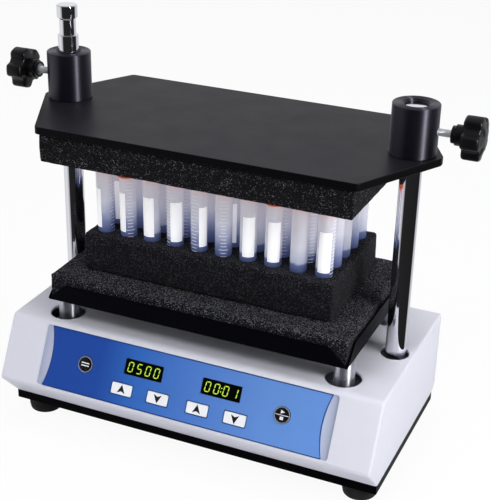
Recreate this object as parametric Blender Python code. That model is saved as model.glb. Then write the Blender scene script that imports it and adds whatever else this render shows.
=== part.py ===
"""Multi-tube vortex mixer: a platform that orbits above a sloped housing, shaking tubes in a foam rack.

Metres, +Z up, +X to the right of someone facing the control panel, which looks towards -Y.
The origin is on the table, under the middle of the housing.
"""

import math

import bmesh
import bpy
from mathutils import Matrix

GAP = 0.0003  # between pieces that touch
PAST = 0.01  # how far a cutter runs past the face it cuts through
SIDES = {"fine": 32, "plain": 24, "small": 16, "tube": 12}

# Housing, in side view from the lip of the control panel backwards
HOUSING_HALF_WIDTH = 0.213
HOUSING_TOP = 0.123
HOUSING_BOTTOM = 0.0275
HOUSING_REAR = 0.1185
LIP_Y = -0.121
LIP_LOW, LIP_HIGH = 0.0565, 0.0595
SLOPE_TOP_Y = -0.0886
CHIN_Y = -0.0934
REAR_CHAMFER = 0.006
WALL = 0.003
HOUSING_ROUNDING = 0.004
FLANGE_REAR = 0.121  # outer face of the mains inlet

# Base
PAN_HALF_WIDTH, PAN_FRONT, PAN_REAR = 0.2126, -0.092, 0.1085
PAN_LOW, PAN_PLATE, PAN_SKIRT = 0.016, 0.003, 0.002
FOOT_X, FOOT_Y, FOOT_MIDDLE_Y = 0.189, 0.079, 0.008
FOOT_TOP_RADIUS, FOOT_RADIUS, FOOT_TAPER = 0.0175, 0.015, 0.008

# Orbit: every pin stands ORBIT_RADIUS behind its own shaft at rest
ORBIT_RADIUS = 0.0018
PLATFORM_Y = 0.012
IDLER_X, IDLER_Y = 0.118, 0.046  # from the middle of the platform
DECK_LOW, DECK_TOP = 0.072, 0.076
BOSS_TOP = 0.088
ORBIT_LOW, ORBIT_TOP = 0.104, 0.112
SINK = 0.001  # how far one part of a piece starts inside another
SHAFT_RADIUS, SHAFT_TOP, SHAFT_WAY_RADIUS = 0.006, 0.088, 0.016
BORE_CLEARANCE, IDLER_CLEARANCE, ROTOR_CLEARANCE = 0.0004, 0.0005, 0.003
MOTOR_RADIUS, MOTOR_LOW, MOTOR_PLATE, MOTOR_SHEET = 0.044, 0.030, 0.006, 0.0025
CRANK_RADIUS, CRANK_LOW, CRANK_TOP = 0.030, 0.084, 0.092
CRANK_NECK_RADIUS, CRANK_NECK_LOW = 0.013, 0.0785
CRANK_WEIGHT_HALF = (0.018, 0.010)
CRANK_PIN_RADIUS, PIN_TOP = 0.0075, 0.111
BEARING_RADIUS, BEARING_LOW, BEARING_WALL, BEARING_BOSS_LOW = 0.0197, 0.097, 0.010, 0.095
IDLER_PIN_RADIUS, IDLER_STEP_RADIUS, IDLER_FLANGE_RADIUS, IDLER_FLANGE = 0.005, 0.008, 0.012, 0.0045
BOSS_RADIUS = 0.015
DECK_HALF_WIDTH, DECK_LEG, DECK_FRONT, DECK_REAR = 0.150, 0.003, -0.055, 0.080
POST_LAND, COLUMN_LAND, COLUMN_EAR_HALF = 0.0145, 0.014, 0.022  # orbit plate round a post or column

# Platform above the housing
POST_X, POST_Y, POST_RADIUS, POST_HOLE_RADIUS = 0.1605, 0.071, 0.011, 0.019
COLUMN_X, COLUMN_RADIUS, COLUMN_HOLE_RADIUS = 0.192, 0.011, 0.015
COLUMN_LEFT_TOP, COLUMN_RIGHT_TOP = 0.4445, 0.392
GROOVE_LOW, GROOVE_HIGH, GROOVE_RADIUS = 0.4126, 0.4315, 0.0087
TRAY_Y, TRAY_HALF_WIDTH, TRAY_HALF_DEPTH = 0.0183, 0.1712, 0.1015
TRAY_LOW, TRAY_SHEET, FLAP_TOP, FLAP_MITRE = 0.1457, 0.0015, 0.1665, 0.022
LOWER_FOAM_HALF_WIDTH, LOWER_FOAM_HALF_DEPTH, LOWER_FOAM_TOP = 0.169, 0.0993, 0.1758
RACK_Y, RACK_HALF_WIDTH, RACK_HALF_DEPTH, RACK_TOP = 0.0175, 0.141, 0.0715, 0.2192

# Tubes: one row across the front and one column down the right-hand end
TUBE_COLUMNS, TUBE_ROWS = 10, 5
TUBE_PITCH_X, TUBE_PITCH_Y = 0.02756, 0.026
TUBE_TIP, TUBE_SHOULDER, CAP_LOW, CAP_TOP = 0.1868, 0.207, 0.2846, 0.3062
TUBE_RADIUS, TIP_RADIUS, CAP_RADIUS, SOCKET_RADIUS = 0.0086, 0.0035, 0.0108, 0.0093

# Clamp plate
UPPER_FOAM_HALF_WIDTH, UPPER_FOAM_HALF_DEPTH = 0.168, 0.101
UPPER_FOAM_LOW, PLATE_LOW, PLATE_TOP = 0.3065, 0.3364, 0.3444
PLATE_CORNER_X, PLATE_HALF_DEPTH, PLATE_TIP_X, PLATE_TIP_HALF = 0.1715, 0.103, 0.222, 0.003
COLLAR_LENGTH, COLLAR_RADIUS, COLLAR_BORE, COLLAR_CHAMFER = 0.05, 0.0235, 0.0115, 0.0022
STUD_Z, STUD_RADIUS, STUD_HOLE_RADIUS = 0.3692, 0.004, 0.0044
HUB_START, HUB_END, HUB_RADIUS = 0.229, 0.241, 0.0093
KNOB_END, KNOB_RADIUS, KNOB_WAVE, KNOB_LOBES = 0.262, 0.0205, 0.0027, 5
KNOB_CROWN, KNOB_SHOULDER, KNOB_CHAMFER, STUD_IN_HEAD = 0.004, 0.0026, 0.002, 0.004

# Control panel, in its own plane: x across, y up the slope, z out of it
PANEL_HALF_WIDTH, PANEL_LOW, PANEL_HIGH = 0.168, -0.0337, 0.0317
PANEL_ARC_CORNER, PANEL_ARC_MIDDLE = 0.1612, 0.1558
RECESS_DEPTH, OVERLAY_THICKNESS, PANEL_WALL = 0.0015, 0.0009, 0.004
DISPLAY_SIZE = (0.044, 0.0165)
DISPLAY_PLACES = {"speed_display": (-0.0455, 0.0085), "time_display": (0.0440, 0.0085)}
KEY_SIZE = (0.0238, 0.0118)
KEY_PLACES = {
    "speed_up_key": (-0.0662, -0.0167),
    "speed_down_key": (-0.0238, -0.0167),
    "time_up_key": (0.0220, -0.0167),
    "time_down_key": (0.0645, -0.0167),
}
ROUND_KEY_RADIUS = 0.0085
ROUND_KEY_PLACES = {"mode_key": (-0.1138, -0.0006), "start_stop_key": (0.1132, -0.0006)}
KEY_PROUD, KEY_FLANGE, KEY_DEPTH = 0.0006, 0.001, 0.0072
CONTROL_BOARD_HALF, BOARD_BEHIND_KEYS, BOARD_THICKNESS = (0.15, 0.024), 0.0019, 0.0016

# Mains inlet and switch, on the rear wall
INLET_X, INLET_Z = -0.15, 0.074
INLET_FLANGE, INLET_BODY, INLET_DEPTH = (0.032, 0.056), (0.0272, 0.047), 0.026
SOCKET_SIZE, SOCKET_Z, SOCKET_DEPTH = (0.0224, 0.0156), -0.0105, 0.017
ROCKER_SIZE, ROCKER_Z, ROCKER_DEPTH, ROCKER_TILT = (0.0205, 0.0135), 0.0125, 0.009, 8.0
ROCKER_CLEARANCE, ROCKER_ROUNDING = 0.0012, 0.0004

# Power supply: each part has its half width, half depth, place along the board, foot and top
SUPPLY_X, SUPPLY_Y, SUPPLY_HALF_WIDTH, SUPPLY_HEIGHT = 0.02, 0.096, 0.055, (0.030, 0.088)
SUPPLY_PARTS = {
    "transformer": (0.018, 0.009, -0.02, 0.036, 0.066),
    "capacitor": (0.007, 0.008, 0.03, 0.040, 0.056),
}

LOOKS = {
    "housing_paint": ((0.80, 0.81, 0.86), 0.42, 0.0),
    "panel_blue": ((0.06, 0.19, 0.47), 0.4, 0.0),
    "display_black": ((0.01, 0.01, 0.012), 0.15, 0.0),
    "key_white": ((0.85, 0.85, 0.85), 0.4, 0.0),
    "key_black": ((0.03, 0.03, 0.035), 0.35, 0.0),
    "black_paint": ((0.03, 0.03, 0.034), 0.4, 0.2),
    "black_anodised": ((0.03, 0.03, 0.04), 0.28, 0.6),
    "chrome": ((0.85, 0.85, 0.88), 0.08, 1.0),
    "zinc": ((0.6, 0.6, 0.62), 0.35, 1.0),
    "steel": ((0.55, 0.55, 0.56), 0.35, 1.0),
    "aluminium": ((0.7, 0.7, 0.72), 0.4, 1.0),
    "rubber": ((0.02, 0.02, 0.02), 0.8, 0.0),
    "foam": ((0.035, 0.035, 0.04), 0.95, 0.0),
    "knob_black": ((0.02, 0.02, 0.022), 0.4, 0.0),
    "tube_plastic": ((0.75, 0.78, 0.9), 0.2, 0.0),
    "circuit_board": ((0.02, 0.16, 0.07), 0.5, 0.0),
    "inlet_black": ((0.015, 0.015, 0.015), 0.45, 0.0),
}

# Turns a shape made along local Z so that it lies along X, its local X along Y and its local Y along Z
ALONG_X = Matrix(((0, 0, 1), (1, 0, 0), (0, 1, 0))).to_4x4()
SLOPE_ANGLE = math.atan2(HOUSING_TOP - LIP_HIGH, SLOPE_TOP_Y - LIP_Y)
PANEL_PLACE = Matrix.Translation(
    (0, (SLOPE_TOP_Y + LIP_Y) / 2, (HOUSING_TOP + LIP_HIGH) / 2)
) @ Matrix.Rotation(SLOPE_ANGLE, 4, "X")


# ---------------------------------------------------------------- shapes


def prism(outline, low, high):
    """A solid of the outline, points anticlockwise in XY, from low to high in Z."""
    shape = bmesh.new()
    rings = [[shape.verts.new((x, y, z)) for x, y in outline] for z in (low, high)]
    shape.faces.new(list(reversed(rings[0])))
    shape.faces.new(rings[1])
    join_rings(shape, rings[0], rings[1])
    return shape


def join_rings(shape, lower, upper):
    for i in range(len(lower)):
        j = (i + 1) % len(lower)
        shape.faces.new((lower[i], lower[j], upper[j], upper[i]))


def turned(profile, sides):
    """A solid turned about Z. Its (radius, z) points start and end on the axis, or close on themselves."""
    shape = bmesh.new()
    rings = []
    for radius, z in profile:
        if radius == 0:
            rings.append([shape.verts.new((0, 0, z))])
        else:
            rings.append([shape.verts.new((*point, z)) for point in circle(radius, sides)])
    if profile[0][0] > 0:
        rings.append(rings[0])
    for lower, upper in zip(rings, rings[1:]):
        if len(lower) == 1 or len(upper) == 1:
            tip, ring = (lower[0], upper) if len(lower) == 1 else (upper[0], lower)
            for i in range(sides):
                shape.faces.new((tip, ring[i], ring[(i + 1) % sides]))
        else:
            join_rings(shape, lower, upper)
    return shape


def circle(radius, sides):
    turns = [2 * math.pi * (i + 0.5) / sides for i in range(sides)]
    return [(radius * math.cos(turn), radius * math.sin(turn)) for turn in turns]


def rectangle(half_x, half_y, middle_x=0.0, middle_y=0.0):
    corners = ((-1, -1), (1, -1), (1, 1), (-1, 1))
    return [(middle_x + half_x * x, middle_y + half_y * y) for x, y in corners]


# ---------------------------------------------------------------- objects


def clear_scene():
    for obj in list(bpy.data.objects):
        bpy.data.objects.remove(obj)


def make_looks():
    for name, (colour, roughness, metallic) in LOOKS.items():
        look = bpy.data.materials.new(name)
        look.use_nodes = True
        shader = look.node_tree.nodes["Principled BSDF"]
        shader.inputs["Base Color"].default_value = (*colour, 1)
        shader.inputs["Roughness"].default_value = roughness
        shader.inputs["Metallic"].default_value = metallic


def add(name, shape, look, place=None, smooth_below=40):
    """Puts the shape in the scene as an object, its own axes set by place."""
    bmesh.ops.recalc_face_normals(shape, faces=shape.faces)
    mesh = bpy.data.meshes.new(name)
    shape.to_mesh(mesh)
    shape.free()
    mesh.shade_smooth()
    mesh.set_sharp_from_angle(angle=math.radians(smooth_below))
    mesh.materials.append(bpy.data.materials[look])
    obj = bpy.data.objects.new(name, mesh)
    bpy.context.scene.collection.objects.link(obj)
    obj.matrix_world = place or Matrix()
    return obj


def at(x, y, z=0.0):
    return Matrix.Translation((x, y, z))


def change(target, operation, name, shape, place=None):
    """Cuts the shape from the target, or joins it on."""
    tool = add(name, shape, target.data.materials[0].name, place)
    tool.hide_render = True
    tool.display_type = "WIRE"
    modifier = target.modifiers.new(name, "BOOLEAN")
    modifier.operation = operation
    modifier.solver = "EXACT"
    modifier.object = tool


def cut(target, name, shape, place=None):
    change(target, "DIFFERENCE", name, shape, place)


def join(target, name, shape, place=None):
    change(target, "UNION", name, shape, place)


def round_edges(obj, width, segments, above):
    bevel = obj.modifiers.new("rounding", "BEVEL")
    bevel.width = width
    bevel.segments = segments
    bevel.limit_method = "ANGLE"
    bevel.angle_limit = math.radians(above)


# ---------------------------------------------------------------- housing and base


def housing_outline(inset):
    """The housing's side view, (y, z) anticlockwise seen from +X, moved inwards by the inset."""
    top, rear = HOUSING_TOP - inset, HOUSING_REAR - inset
    slope_shift = inset * math.tan(SLOPE_ANGLE / 2)
    lip = inset / math.sin(SLOPE_ANGLE)
    return [
        (CHIN_Y + lip, HOUSING_BOTTOM),
        (rear - REAR_CHAMFER, HOUSING_BOTTOM),
        (rear, HOUSING_BOTTOM + REAR_CHAMFER),
        (rear, top),
        (SLOPE_TOP_Y + slope_shift, top),
        (LIP_Y + lip, LIP_HIGH),
        (LIP_Y + lip, LIP_LOW),
    ]


def column_places():
    return {"left": -COLUMN_X, "right": COLUMN_X}


def corner_places(half_x, half_y, middle_y):
    return {
        "front_left": (-half_x, middle_y - half_y),
        "front_right": (half_x, middle_y - half_y),
        "rear_left": (-half_x, middle_y + half_y),
        "rear_right": (half_x, middle_y + half_y),
    }


def post_places():
    return corner_places(POST_X, POST_Y, PLATFORM_Y)


def idler_places():
    """Where each idler's pin stands at rest; its shaft is ORBIT_RADIUS further forward."""
    return corner_places(IDLER_X, IDLER_Y, PLATFORM_Y)


def make_housing():
    outer = prism(housing_outline(0), -HOUSING_HALF_WIDTH, HOUSING_HALF_WIDTH)
    housing = add("housing_shell", outer, "housing_paint", ALONG_X)
    round_edges(housing, HOUSING_ROUNDING, 3, 60)
    inside = housing_outline(WALL)
    # The hollow leaves the housing straight down, between the foot of the chin and that of the rear wall.
    inside[1:1] = [(y, HOUSING_BOTTOM - PAST) for y, _ in inside[:2]]
    half = HOUSING_HALF_WIDTH - WALL
    cut(housing, "housing_hollow", prism(inside, -half, half), ALONG_X)
    holes = [(x, y, POST_HOLE_RADIUS) for x, y in post_places().values()]
    holes += [(x, PLATFORM_Y, COLUMN_HOLE_RADIUS) for x in column_places().values()]
    for number, (x, y, radius) in enumerate(holes):
        hole = prism(circle(radius, SIDES["plain"]), HOUSING_TOP - 2 * WALL, HOUSING_TOP + WALL)
        cut(housing, f"platform_hole_{number}", hole, at(x, y - ORBIT_RADIUS))
    thicken_panel_wall(housing)
    cut_recess(housing)
    cut_ways_through(housing)
    inlet = rectangle(INLET_BODY[0] / 2 + GAP, INLET_BODY[1] / 2 + GAP)
    cut(housing, "inlet_opening", prism(inlet, -PAST, PAST), inlet_place())


def thicken_panel_wall(housing):
    """A pad behind the recess keeps the wall as thick there as it is elsewhere."""
    low, high = PANEL_LOW + PANEL_WALL, PANEL_HIGH - PANEL_WALL
    pad = rectangle(PANEL_HALF_WIDTH, (high - low) / 2, 0, (low + high) / 2)
    join(housing, "panel_pad", prism(pad, -PANEL_WALL, -WALL / 2), PANEL_PLACE)


def panel_rectangle(size, clearance, middle):
    return rectangle(size[0] / 2 + clearance, size[1] / 2 + clearance, *middle)


def cut_recess(housing):
    middle_y = (PANEL_LOW + PANEL_HIGH) / 2
    recess = rectangle(PANEL_HALF_WIDTH, (PANEL_HIGH - PANEL_LOW) / 2 + GAP, 0, middle_y)
    cut(housing, "panel_recess", prism(recess, -RECESS_DEPTH, PAST), PANEL_PLACE)


def cut_ways_through(target):
    """The openings for the windows and keys, through the housing or the overlay."""
    low, high = -PANEL_WALL - PAST, PAST
    square = [(DISPLAY_SIZE, name, middle) for name, middle in DISPLAY_PLACES.items()]
    square += [(KEY_SIZE, name, middle) for name, middle in KEY_PLACES.items()]
    for size, name, middle in square:
        way = prism(panel_rectangle(size, GAP, middle), low, high)
        cut(target, f"{target.name}_{name}_way", way, PANEL_PLACE)
    for name, middle in ROUND_KEY_PLACES.items():
        way = prism(circle(ROUND_KEY_RADIUS + 2 * GAP, SIDES["plain"]), low, high)
        cut(target, f"{target.name}_{name}_way", way, PANEL_PLACE @ at(*middle))


def make_base():
    middle_y, half_y = (PAN_REAR + PAN_FRONT) / 2, (PAN_REAR - PAN_FRONT) / 2
    top = HOUSING_BOTTOM - GAP
    outside = rectangle(PAN_HALF_WIDTH, half_y, 0, middle_y)
    pan = add("base_pan", prism(outside, PAN_LOW, top), "black_paint")
    inside = rectangle(PAN_HALF_WIDTH - PAN_SKIRT, half_y - PAN_SKIRT, 0, middle_y)
    cut(pan, "pan_hollow", prism(inside, PAN_LOW - PAST, top - PAN_PLATE))
    profile = [(0, 0), (FOOT_RADIUS, 0), (FOOT_TOP_RADIUS, FOOT_TAPER)]
    profile += [(FOOT_TOP_RADIUS, top - PAN_PLATE - GAP), (0, top - PAN_PLATE - GAP)]
    for name, (x, y) in corner_places(FOOT_X, FOOT_Y, FOOT_MIDDLE_Y).items():
        add(f"foot_{name}", turned(profile, SIDES["plain"]), "rubber", at(x, y))


# ---------------------------------------------------------------- control panel


def overlay_outline():
    """The printed overlay: straight along its length, with its two ends curved inwards."""
    middle_y = (PANEL_LOW + PANEL_HIGH) / 2
    half = (PANEL_HIGH - PANEL_LOW) / 2
    sag = PANEL_ARC_CORNER - PANEL_ARC_MIDDLE
    radius = (half**2 + sag**2) / (2 * sag)
    steps = 10
    spread = math.asin(half / radius)
    right = []
    for i in range(steps + 1):
        turn = spread * (2 * i / steps - 1)
        x = PANEL_ARC_MIDDLE + radius * (1 - math.cos(turn))
        right.append((x, middle_y + radius * math.sin(turn)))
    left = [(-x, y) for x, y in reversed(right)]
    return right + left


def make_panel():
    low = -RECESS_DEPTH + GAP
    face = low + OVERLAY_THICKNESS
    overlay = add("panel_overlay", prism(overlay_outline(), low, face), "panel_blue", PANEL_PLACE)
    cut_ways_through(overlay)
    for name, middle in DISPLAY_PLACES.items():
        window = prism(panel_rectangle(DISPLAY_SIZE, 0, middle), -KEY_DEPTH, face)
        add(name, window, "display_black", PANEL_PLACE)
    back = -PANEL_WALL - 2 * KEY_PROUD
    for name, middle in KEY_PLACES.items():
        key = prism(panel_rectangle(KEY_SIZE, 0, middle), -KEY_DEPTH, face + KEY_PROUD)
        key_object = add(name, key, "key_white", PANEL_PLACE)
        flange = prism(panel_rectangle(KEY_SIZE, KEY_FLANGE, middle), -KEY_DEPTH, back)
        join(key_object, f"{name}_flange", flange, PANEL_PLACE)
    wide = ROUND_KEY_RADIUS + KEY_FLANGE
    radius = ROUND_KEY_RADIUS
    profile = [(0, -KEY_DEPTH), (wide, -KEY_DEPTH), (wide, back), (radius, back)]
    profile += [(radius, face + KEY_PROUD), (0, face + KEY_PROUD)]
    for name, middle in ROUND_KEY_PLACES.items():
        add(name, turned(profile, SIDES["plain"]), "key_black", PANEL_PLACE @ at(*middle))
    board_face = -KEY_DEPTH - BOARD_BEHIND_KEYS
    board = rectangle(*CONTROL_BOARD_HALF, 0, (PANEL_LOW + PANEL_HIGH) / 2)
    board = prism(board, board_face - BOARD_THICKNESS, board_face)
    add("control_board", board, "circuit_board", PANEL_PLACE)


# ---------------------------------------------------------------- mains inlet


def inlet_place():
    """Local Z points out of the rear wall and local Y up."""
    facing = Matrix(((-1, 0, 0), (0, 0, 1), (0, 1, 0))).to_4x4()
    return at(INLET_X, HOUSING_REAR, INLET_Z) @ facing


def make_inlet():
    outside = FLANGE_REAR - HOUSING_REAR
    flange = prism(rectangle(INLET_FLANGE[0] / 2, INLET_FLANGE[1] / 2), GAP, outside)
    inlet = add("power_inlet", flange, "inlet_black", inlet_place())
    body = prism(rectangle(INLET_BODY[0] / 2, INLET_BODY[1] / 2), -INLET_DEPTH, outside / 2)
    join(inlet, "inlet_body", body, inlet_place())
    socket = rectangle(SOCKET_SIZE[0] / 2, SOCKET_SIZE[1] / 2, 0, SOCKET_Z)
    cut(inlet, "inlet_socket", prism(socket, -SOCKET_DEPTH, PAST), inlet_place())
    well = rectangle(ROCKER_SIZE[0] / 2, ROCKER_SIZE[1] / 2, 0, ROCKER_Z)
    cut(inlet, "rocker_well", prism(well, -ROCKER_DEPTH, PAST), inlet_place())
    make_rocker(outside)


def make_rocker(outside):
    """A shallow V in side view, so that one end lies low while the other stands up."""
    half_x, half_y = ROCKER_SIZE[0] / 2 - GAP, ROCKER_SIZE[1] / 2 - ROCKER_CLEARANCE
    tilt = math.radians(ROCKER_TILT)
    rise = half_y * math.tan(tilt)
    low, face = -ROCKER_DEPTH / 2, outside - ROCKER_CLEARANCE
    outline = [(-half_y, low + rise), (0, low), (half_y, low + rise)]
    outline += [(half_y, face), (0, face - rise), (-half_y, face)]
    place = inlet_place() @ at(0, ROCKER_Z) @ Matrix.Rotation(-tilt, 4, "X") @ ALONG_X
    rocker = add("power_rocker", prism(outline, -half_x, half_x), "inlet_black", place)
    round_edges(rocker, ROCKER_ROUNDING, 1, 60)


# ---------------------------------------------------------------- drive


def stepped(*steps):
    """A turned profile of plain cylinders: each step is (radius, low, high), from the bottom up."""
    profile = [(0, steps[0][1])]
    for radius, low, high in steps:
        profile += [(radius, low), (radius, high)]
    return profile + [(0, steps[-1][2])]


def make_drive():
    shaft_y = PLATFORM_Y - ORBIT_RADIUS
    make_motor(shaft_y)
    bore = SHAFT_RADIUS + BORE_CLEARANCE
    hub = [(0, SHAFT_TOP + BORE_CLEARANCE), (bore, SHAFT_TOP + BORE_CLEARANCE), (bore, CRANK_NECK_LOW)]
    hub += [(CRANK_NECK_RADIUS, CRANK_NECK_LOW), (CRANK_NECK_RADIUS, CRANK_LOW)]
    hub += [(CRANK_RADIUS, CRANK_LOW), (CRANK_RADIUS, CRANK_TOP), (0, CRANK_TOP)]
    crank = add("crank_hub", turned(hub, SIDES["plain"]), "steel", at(0, shaft_y))
    pin = prism(circle(CRANK_PIN_RADIUS, SIDES["plain"]), CRANK_TOP - SINK, PIN_TOP)
    join(crank, "crank_pin", pin, at(0, PLATFORM_Y))
    weight = prism(rectangle(*CRANK_WEIGHT_HALF, 0, -CRANK_RADIUS), CRANK_LOW, CRANK_TOP)
    join(crank, "crank_weight", weight, at(0, shaft_y))
    inner, outer = CRANK_PIN_RADIUS + BORE_CLEARANCE, BEARING_RADIUS
    ring = [(inner, BEARING_LOW), (outer, BEARING_LOW), (outer, PIN_TOP), (inner, PIN_TOP)]
    add("crank_bearing", turned(ring, SIDES["plain"]), "steel", at(0, PLATFORM_Y))
    make_deck()
    make_idlers()


def make_motor(shaft_y):
    """A can with the rotor running inside it; the shaft leaves through the can's open neck."""
    bore = SHAFT_RADIUS + BORE_CLEARANCE
    seat = MOTOR_LOW + MOTOR_SHEET
    inside_low, inside_high = MOTOR_LOW + MOTOR_PLATE, DECK_LOW - MOTOR_PLATE
    inside = MOTOR_RADIUS - 2 * MOTOR_PLATE
    can = [(0, MOTOR_LOW), (MOTOR_RADIUS, MOTOR_LOW), (MOTOR_RADIUS, DECK_LOW - GAP)]
    can += [(bore, DECK_LOW - GAP), (bore, inside_high), (inside, inside_high)]
    can += [(inside, inside_low), (bore, inside_low), (bore, seat), (0, seat)]
    add("motor_can", turned(can, SIDES["plain"]), "aluminium", at(0, shaft_y))
    low, high = inside_low + ROTOR_CLEARANCE, inside_high - ROTOR_CLEARANCE
    rotor = stepped(
        (SHAFT_RADIUS, seat + BORE_CLEARANCE, low),
        (inside - ROTOR_CLEARANCE, low, high),
        (SHAFT_RADIUS, high, SHAFT_TOP),
    )
    add("motor_rotor", turned(rotor, SIDES["plain"]), "steel", at(0, shaft_y))


def make_deck():
    """The bridge that holds the motor and the four idlers."""
    inner = DECK_HALF_WIDTH - DECK_LEG
    outline = [(DECK_HALF_WIDTH, HOUSING_BOTTOM), (DECK_HALF_WIDTH, DECK_TOP)]
    outline += [(-x, z) for x, z in reversed(outline)]
    outline += [(-inner, HOUSING_BOTTOM), (-inner, DECK_LOW), (inner, DECK_LOW), (inner, HOUSING_BOTTOM)]
    # The outline is (x, z); this stands it up, so that the prism's length runs towards -Y.
    standing = Matrix(((1, 0, 0), (0, 0, -1), (0, 1, 0))).to_4x4()
    deck = add("drive_deck", prism(outline, -DECK_REAR, -DECK_FRONT), "steel", standing)
    way = prism(circle(SHAFT_WAY_RADIUS, SIDES["plain"]), DECK_LOW - PAST, DECK_TOP + PAST)
    cut(deck, "shaft_way", way, at(0, PLATFORM_Y - ORBIT_RADIUS))
    for name, (x, y) in idler_places().items():
        boss = prism(circle(BOSS_RADIUS, SIDES["small"]), (DECK_LOW + DECK_TOP) / 2, BOSS_TOP)
        join(deck, f"boss_{name}", boss, at(x, y - ORBIT_RADIUS))
    for name, (x, y) in idler_places().items():
        bore = circle(SHAFT_RADIUS + IDLER_CLEARANCE, SIDES["small"])
        bore = prism(bore, DECK_LOW - PAST, BOSS_TOP + PAST)
        cut(deck, f"bore_{name}", bore, at(x, y - ORBIT_RADIUS))


def make_idlers():
    """Each idler is a journal in the deck with an eccentric pin that carries the orbit plate."""
    shoulder = BOSS_TOP + IDLER_CLEARANCE
    flange = shoulder + IDLER_FLANGE
    stop = ORBIT_LOW - GAP
    journal = stepped(
        (SHAFT_RADIUS, DECK_LOW - 2 * SINK, shoulder),
        (IDLER_FLANGE_RADIUS, shoulder, flange),
    )
    pin = stepped((IDLER_STEP_RADIUS, flange - SINK, stop), (IDLER_PIN_RADIUS, stop, PIN_TOP))
    for name, (x, y) in idler_places().items():
        place = at(x, y - ORBIT_RADIUS)
        idler = add(f"idler_{name}", turned(journal, SIDES["small"]), "steel", place)
        join(idler, f"idler_pin_{name}", turned(pin, SIDES["small"]), at(x, y))


# ---------------------------------------------------------------- platform


def make_orbit_plate():
    """The plate inside the housing that the posts and columns stand on."""
    narrow, deep = POST_X + POST_LAND, POST_Y + POST_LAND
    wide, shallow = COLUMN_X + COLUMN_LAND, COLUMN_EAR_HALF
    right = [(narrow, -deep), (narrow, -shallow), (wide, -shallow)]
    right += [(x, -y) for x, y in reversed(right)]
    outline = right + [(-x, -y) for x, y in right]
    middle = at(0, PLATFORM_Y)
    plate = add("orbit_plate", prism(outline, ORBIT_LOW, ORBIT_TOP), "aluminium", middle)
    boss = circle(BEARING_RADIUS + BEARING_WALL, SIDES["plain"])
    join(plate, "bearing_boss", prism(boss, BEARING_BOSS_LOW, (ORBIT_LOW + ORBIT_TOP) / 2), middle)
    bore = prism(circle(BEARING_RADIUS + IDLER_CLEARANCE, SIDES["plain"]), DECK_TOP, ORBIT_TOP + PAST)
    cut(plate, "bearing_bore", bore, middle)
    for name, (x, y) in idler_places().items():
        bore = circle(IDLER_PIN_RADIUS + IDLER_CLEARANCE, SIDES["small"])
        cut(plate, f"pin_bore_{name}", prism(bore, ORBIT_LOW - PAST, ORBIT_TOP + PAST), at(x, y))


def make_posts_and_columns():
    foot, post_top = ORBIT_TOP + GAP, TRAY_LOW - GAP
    for name, (x, y) in post_places().items():
        post = turned(stepped((POST_RADIUS, foot, post_top)), SIDES["plain"])
        add(f"post_{name}", post, "chrome", at(x, y))
    right = turned(stepped((COLUMN_RADIUS, foot, COLUMN_RIGHT_TOP)), SIDES["plain"])
    add("column_right", right, "chrome", at(COLUMN_X, PLATFORM_Y))
    shoulder = GROOVE_HIGH - (COLUMN_RADIUS - GROOVE_RADIUS)
    left = stepped(
        (COLUMN_RADIUS, foot, GROOVE_LOW),
        (GROOVE_RADIUS, GROOVE_LOW, shoulder),
        (COLUMN_RADIUS, GROOVE_HIGH, COLUMN_LEFT_TOP),
    )
    add("column_left", turned(left, SIDES["plain"]), "chrome", at(-COLUMN_X, PLATFORM_Y))


def make_tray():
    """A sheet pan whose four flaps end at 45 degrees, so that they don't meet at the corners."""
    middle = at(0, TRAY_Y)
    floor = prism(rectangle(TRAY_HALF_WIDTH, TRAY_HALF_DEPTH), TRAY_LOW, TRAY_LOW + TRAY_SHEET)
    tray = add("tray", floor, "black_paint", middle)
    across, along = (TRAY_HALF_WIDTH, TRAY_HALF_DEPTH), (TRAY_HALF_DEPTH, TRAY_HALF_WIDTH)
    flaps = {"right": across, "rear": along, "left": across, "front": along}
    shoulder = TRAY_LOW + TRAY_SHEET / 2
    for quarter, (name, (distance, half)) in enumerate(flaps.items()):
        short = half - FLAP_MITRE
        outline = [(-half, shoulder), (half, shoulder), (short, FLAP_TOP), (-short, FLAP_TOP)]
        turned_by = Matrix.Rotation(quarter * math.pi / 2, 4, "Z")
        flap = prism(outline, distance - TRAY_SHEET, distance)
        join(tray, f"flap_{name}", flap, middle @ turned_by @ ALONG_X)


def tube_places():
    """The corners of the loaded row and column, front left first: each tube's x and y."""
    first_x = -TUBE_PITCH_X * (TUBE_COLUMNS - 1) / 2
    first_y = RACK_Y - TUBE_PITCH_Y * (TUBE_ROWS - 1) / 2
    front = [(first_x + TUBE_PITCH_X * column, first_y) for column in range(TUBE_COLUMNS)]
    right_end = [(-first_x, first_y + TUBE_PITCH_Y * row) for row in range(1, TUBE_ROWS)]
    return front + right_end


def make_foam_and_tubes():
    low = TRAY_LOW + TRAY_SHEET + GAP
    pad = prism(rectangle(LOWER_FOAM_HALF_WIDTH, LOWER_FOAM_HALF_DEPTH), low, LOWER_FOAM_TOP)
    add("lower_foam_pad", pad, "foam", at(0, TRAY_Y))
    block = prism(rectangle(RACK_HALF_WIDTH, RACK_HALF_DEPTH), LOWER_FOAM_TOP + GAP, RACK_TOP)
    rack = add("tube_rack", block, "foam", at(0, RACK_Y))
    tube = [(0, TUBE_TIP), (TIP_RADIUS, TUBE_TIP), (TUBE_RADIUS, TUBE_SHOULDER), (TUBE_RADIUS, CAP_LOW)]
    tube += [(CAP_RADIUS, CAP_LOW), (CAP_RADIUS, CAP_TOP), (0, CAP_TOP)]
    for number, (x, y) in enumerate(tube_places(), 1):
        socket = prism(circle(SOCKET_RADIUS, SIDES["tube"]), TUBE_TIP - GAP, RACK_TOP + PAST)
        cut(rack, f"socket_{number:02}", socket, at(x, y))
        add(f"sample_tube_{number:02}", turned(tube, SIDES["tube"]), "tube_plastic", at(x, y))


# ---------------------------------------------------------------- clamp plate


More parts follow.
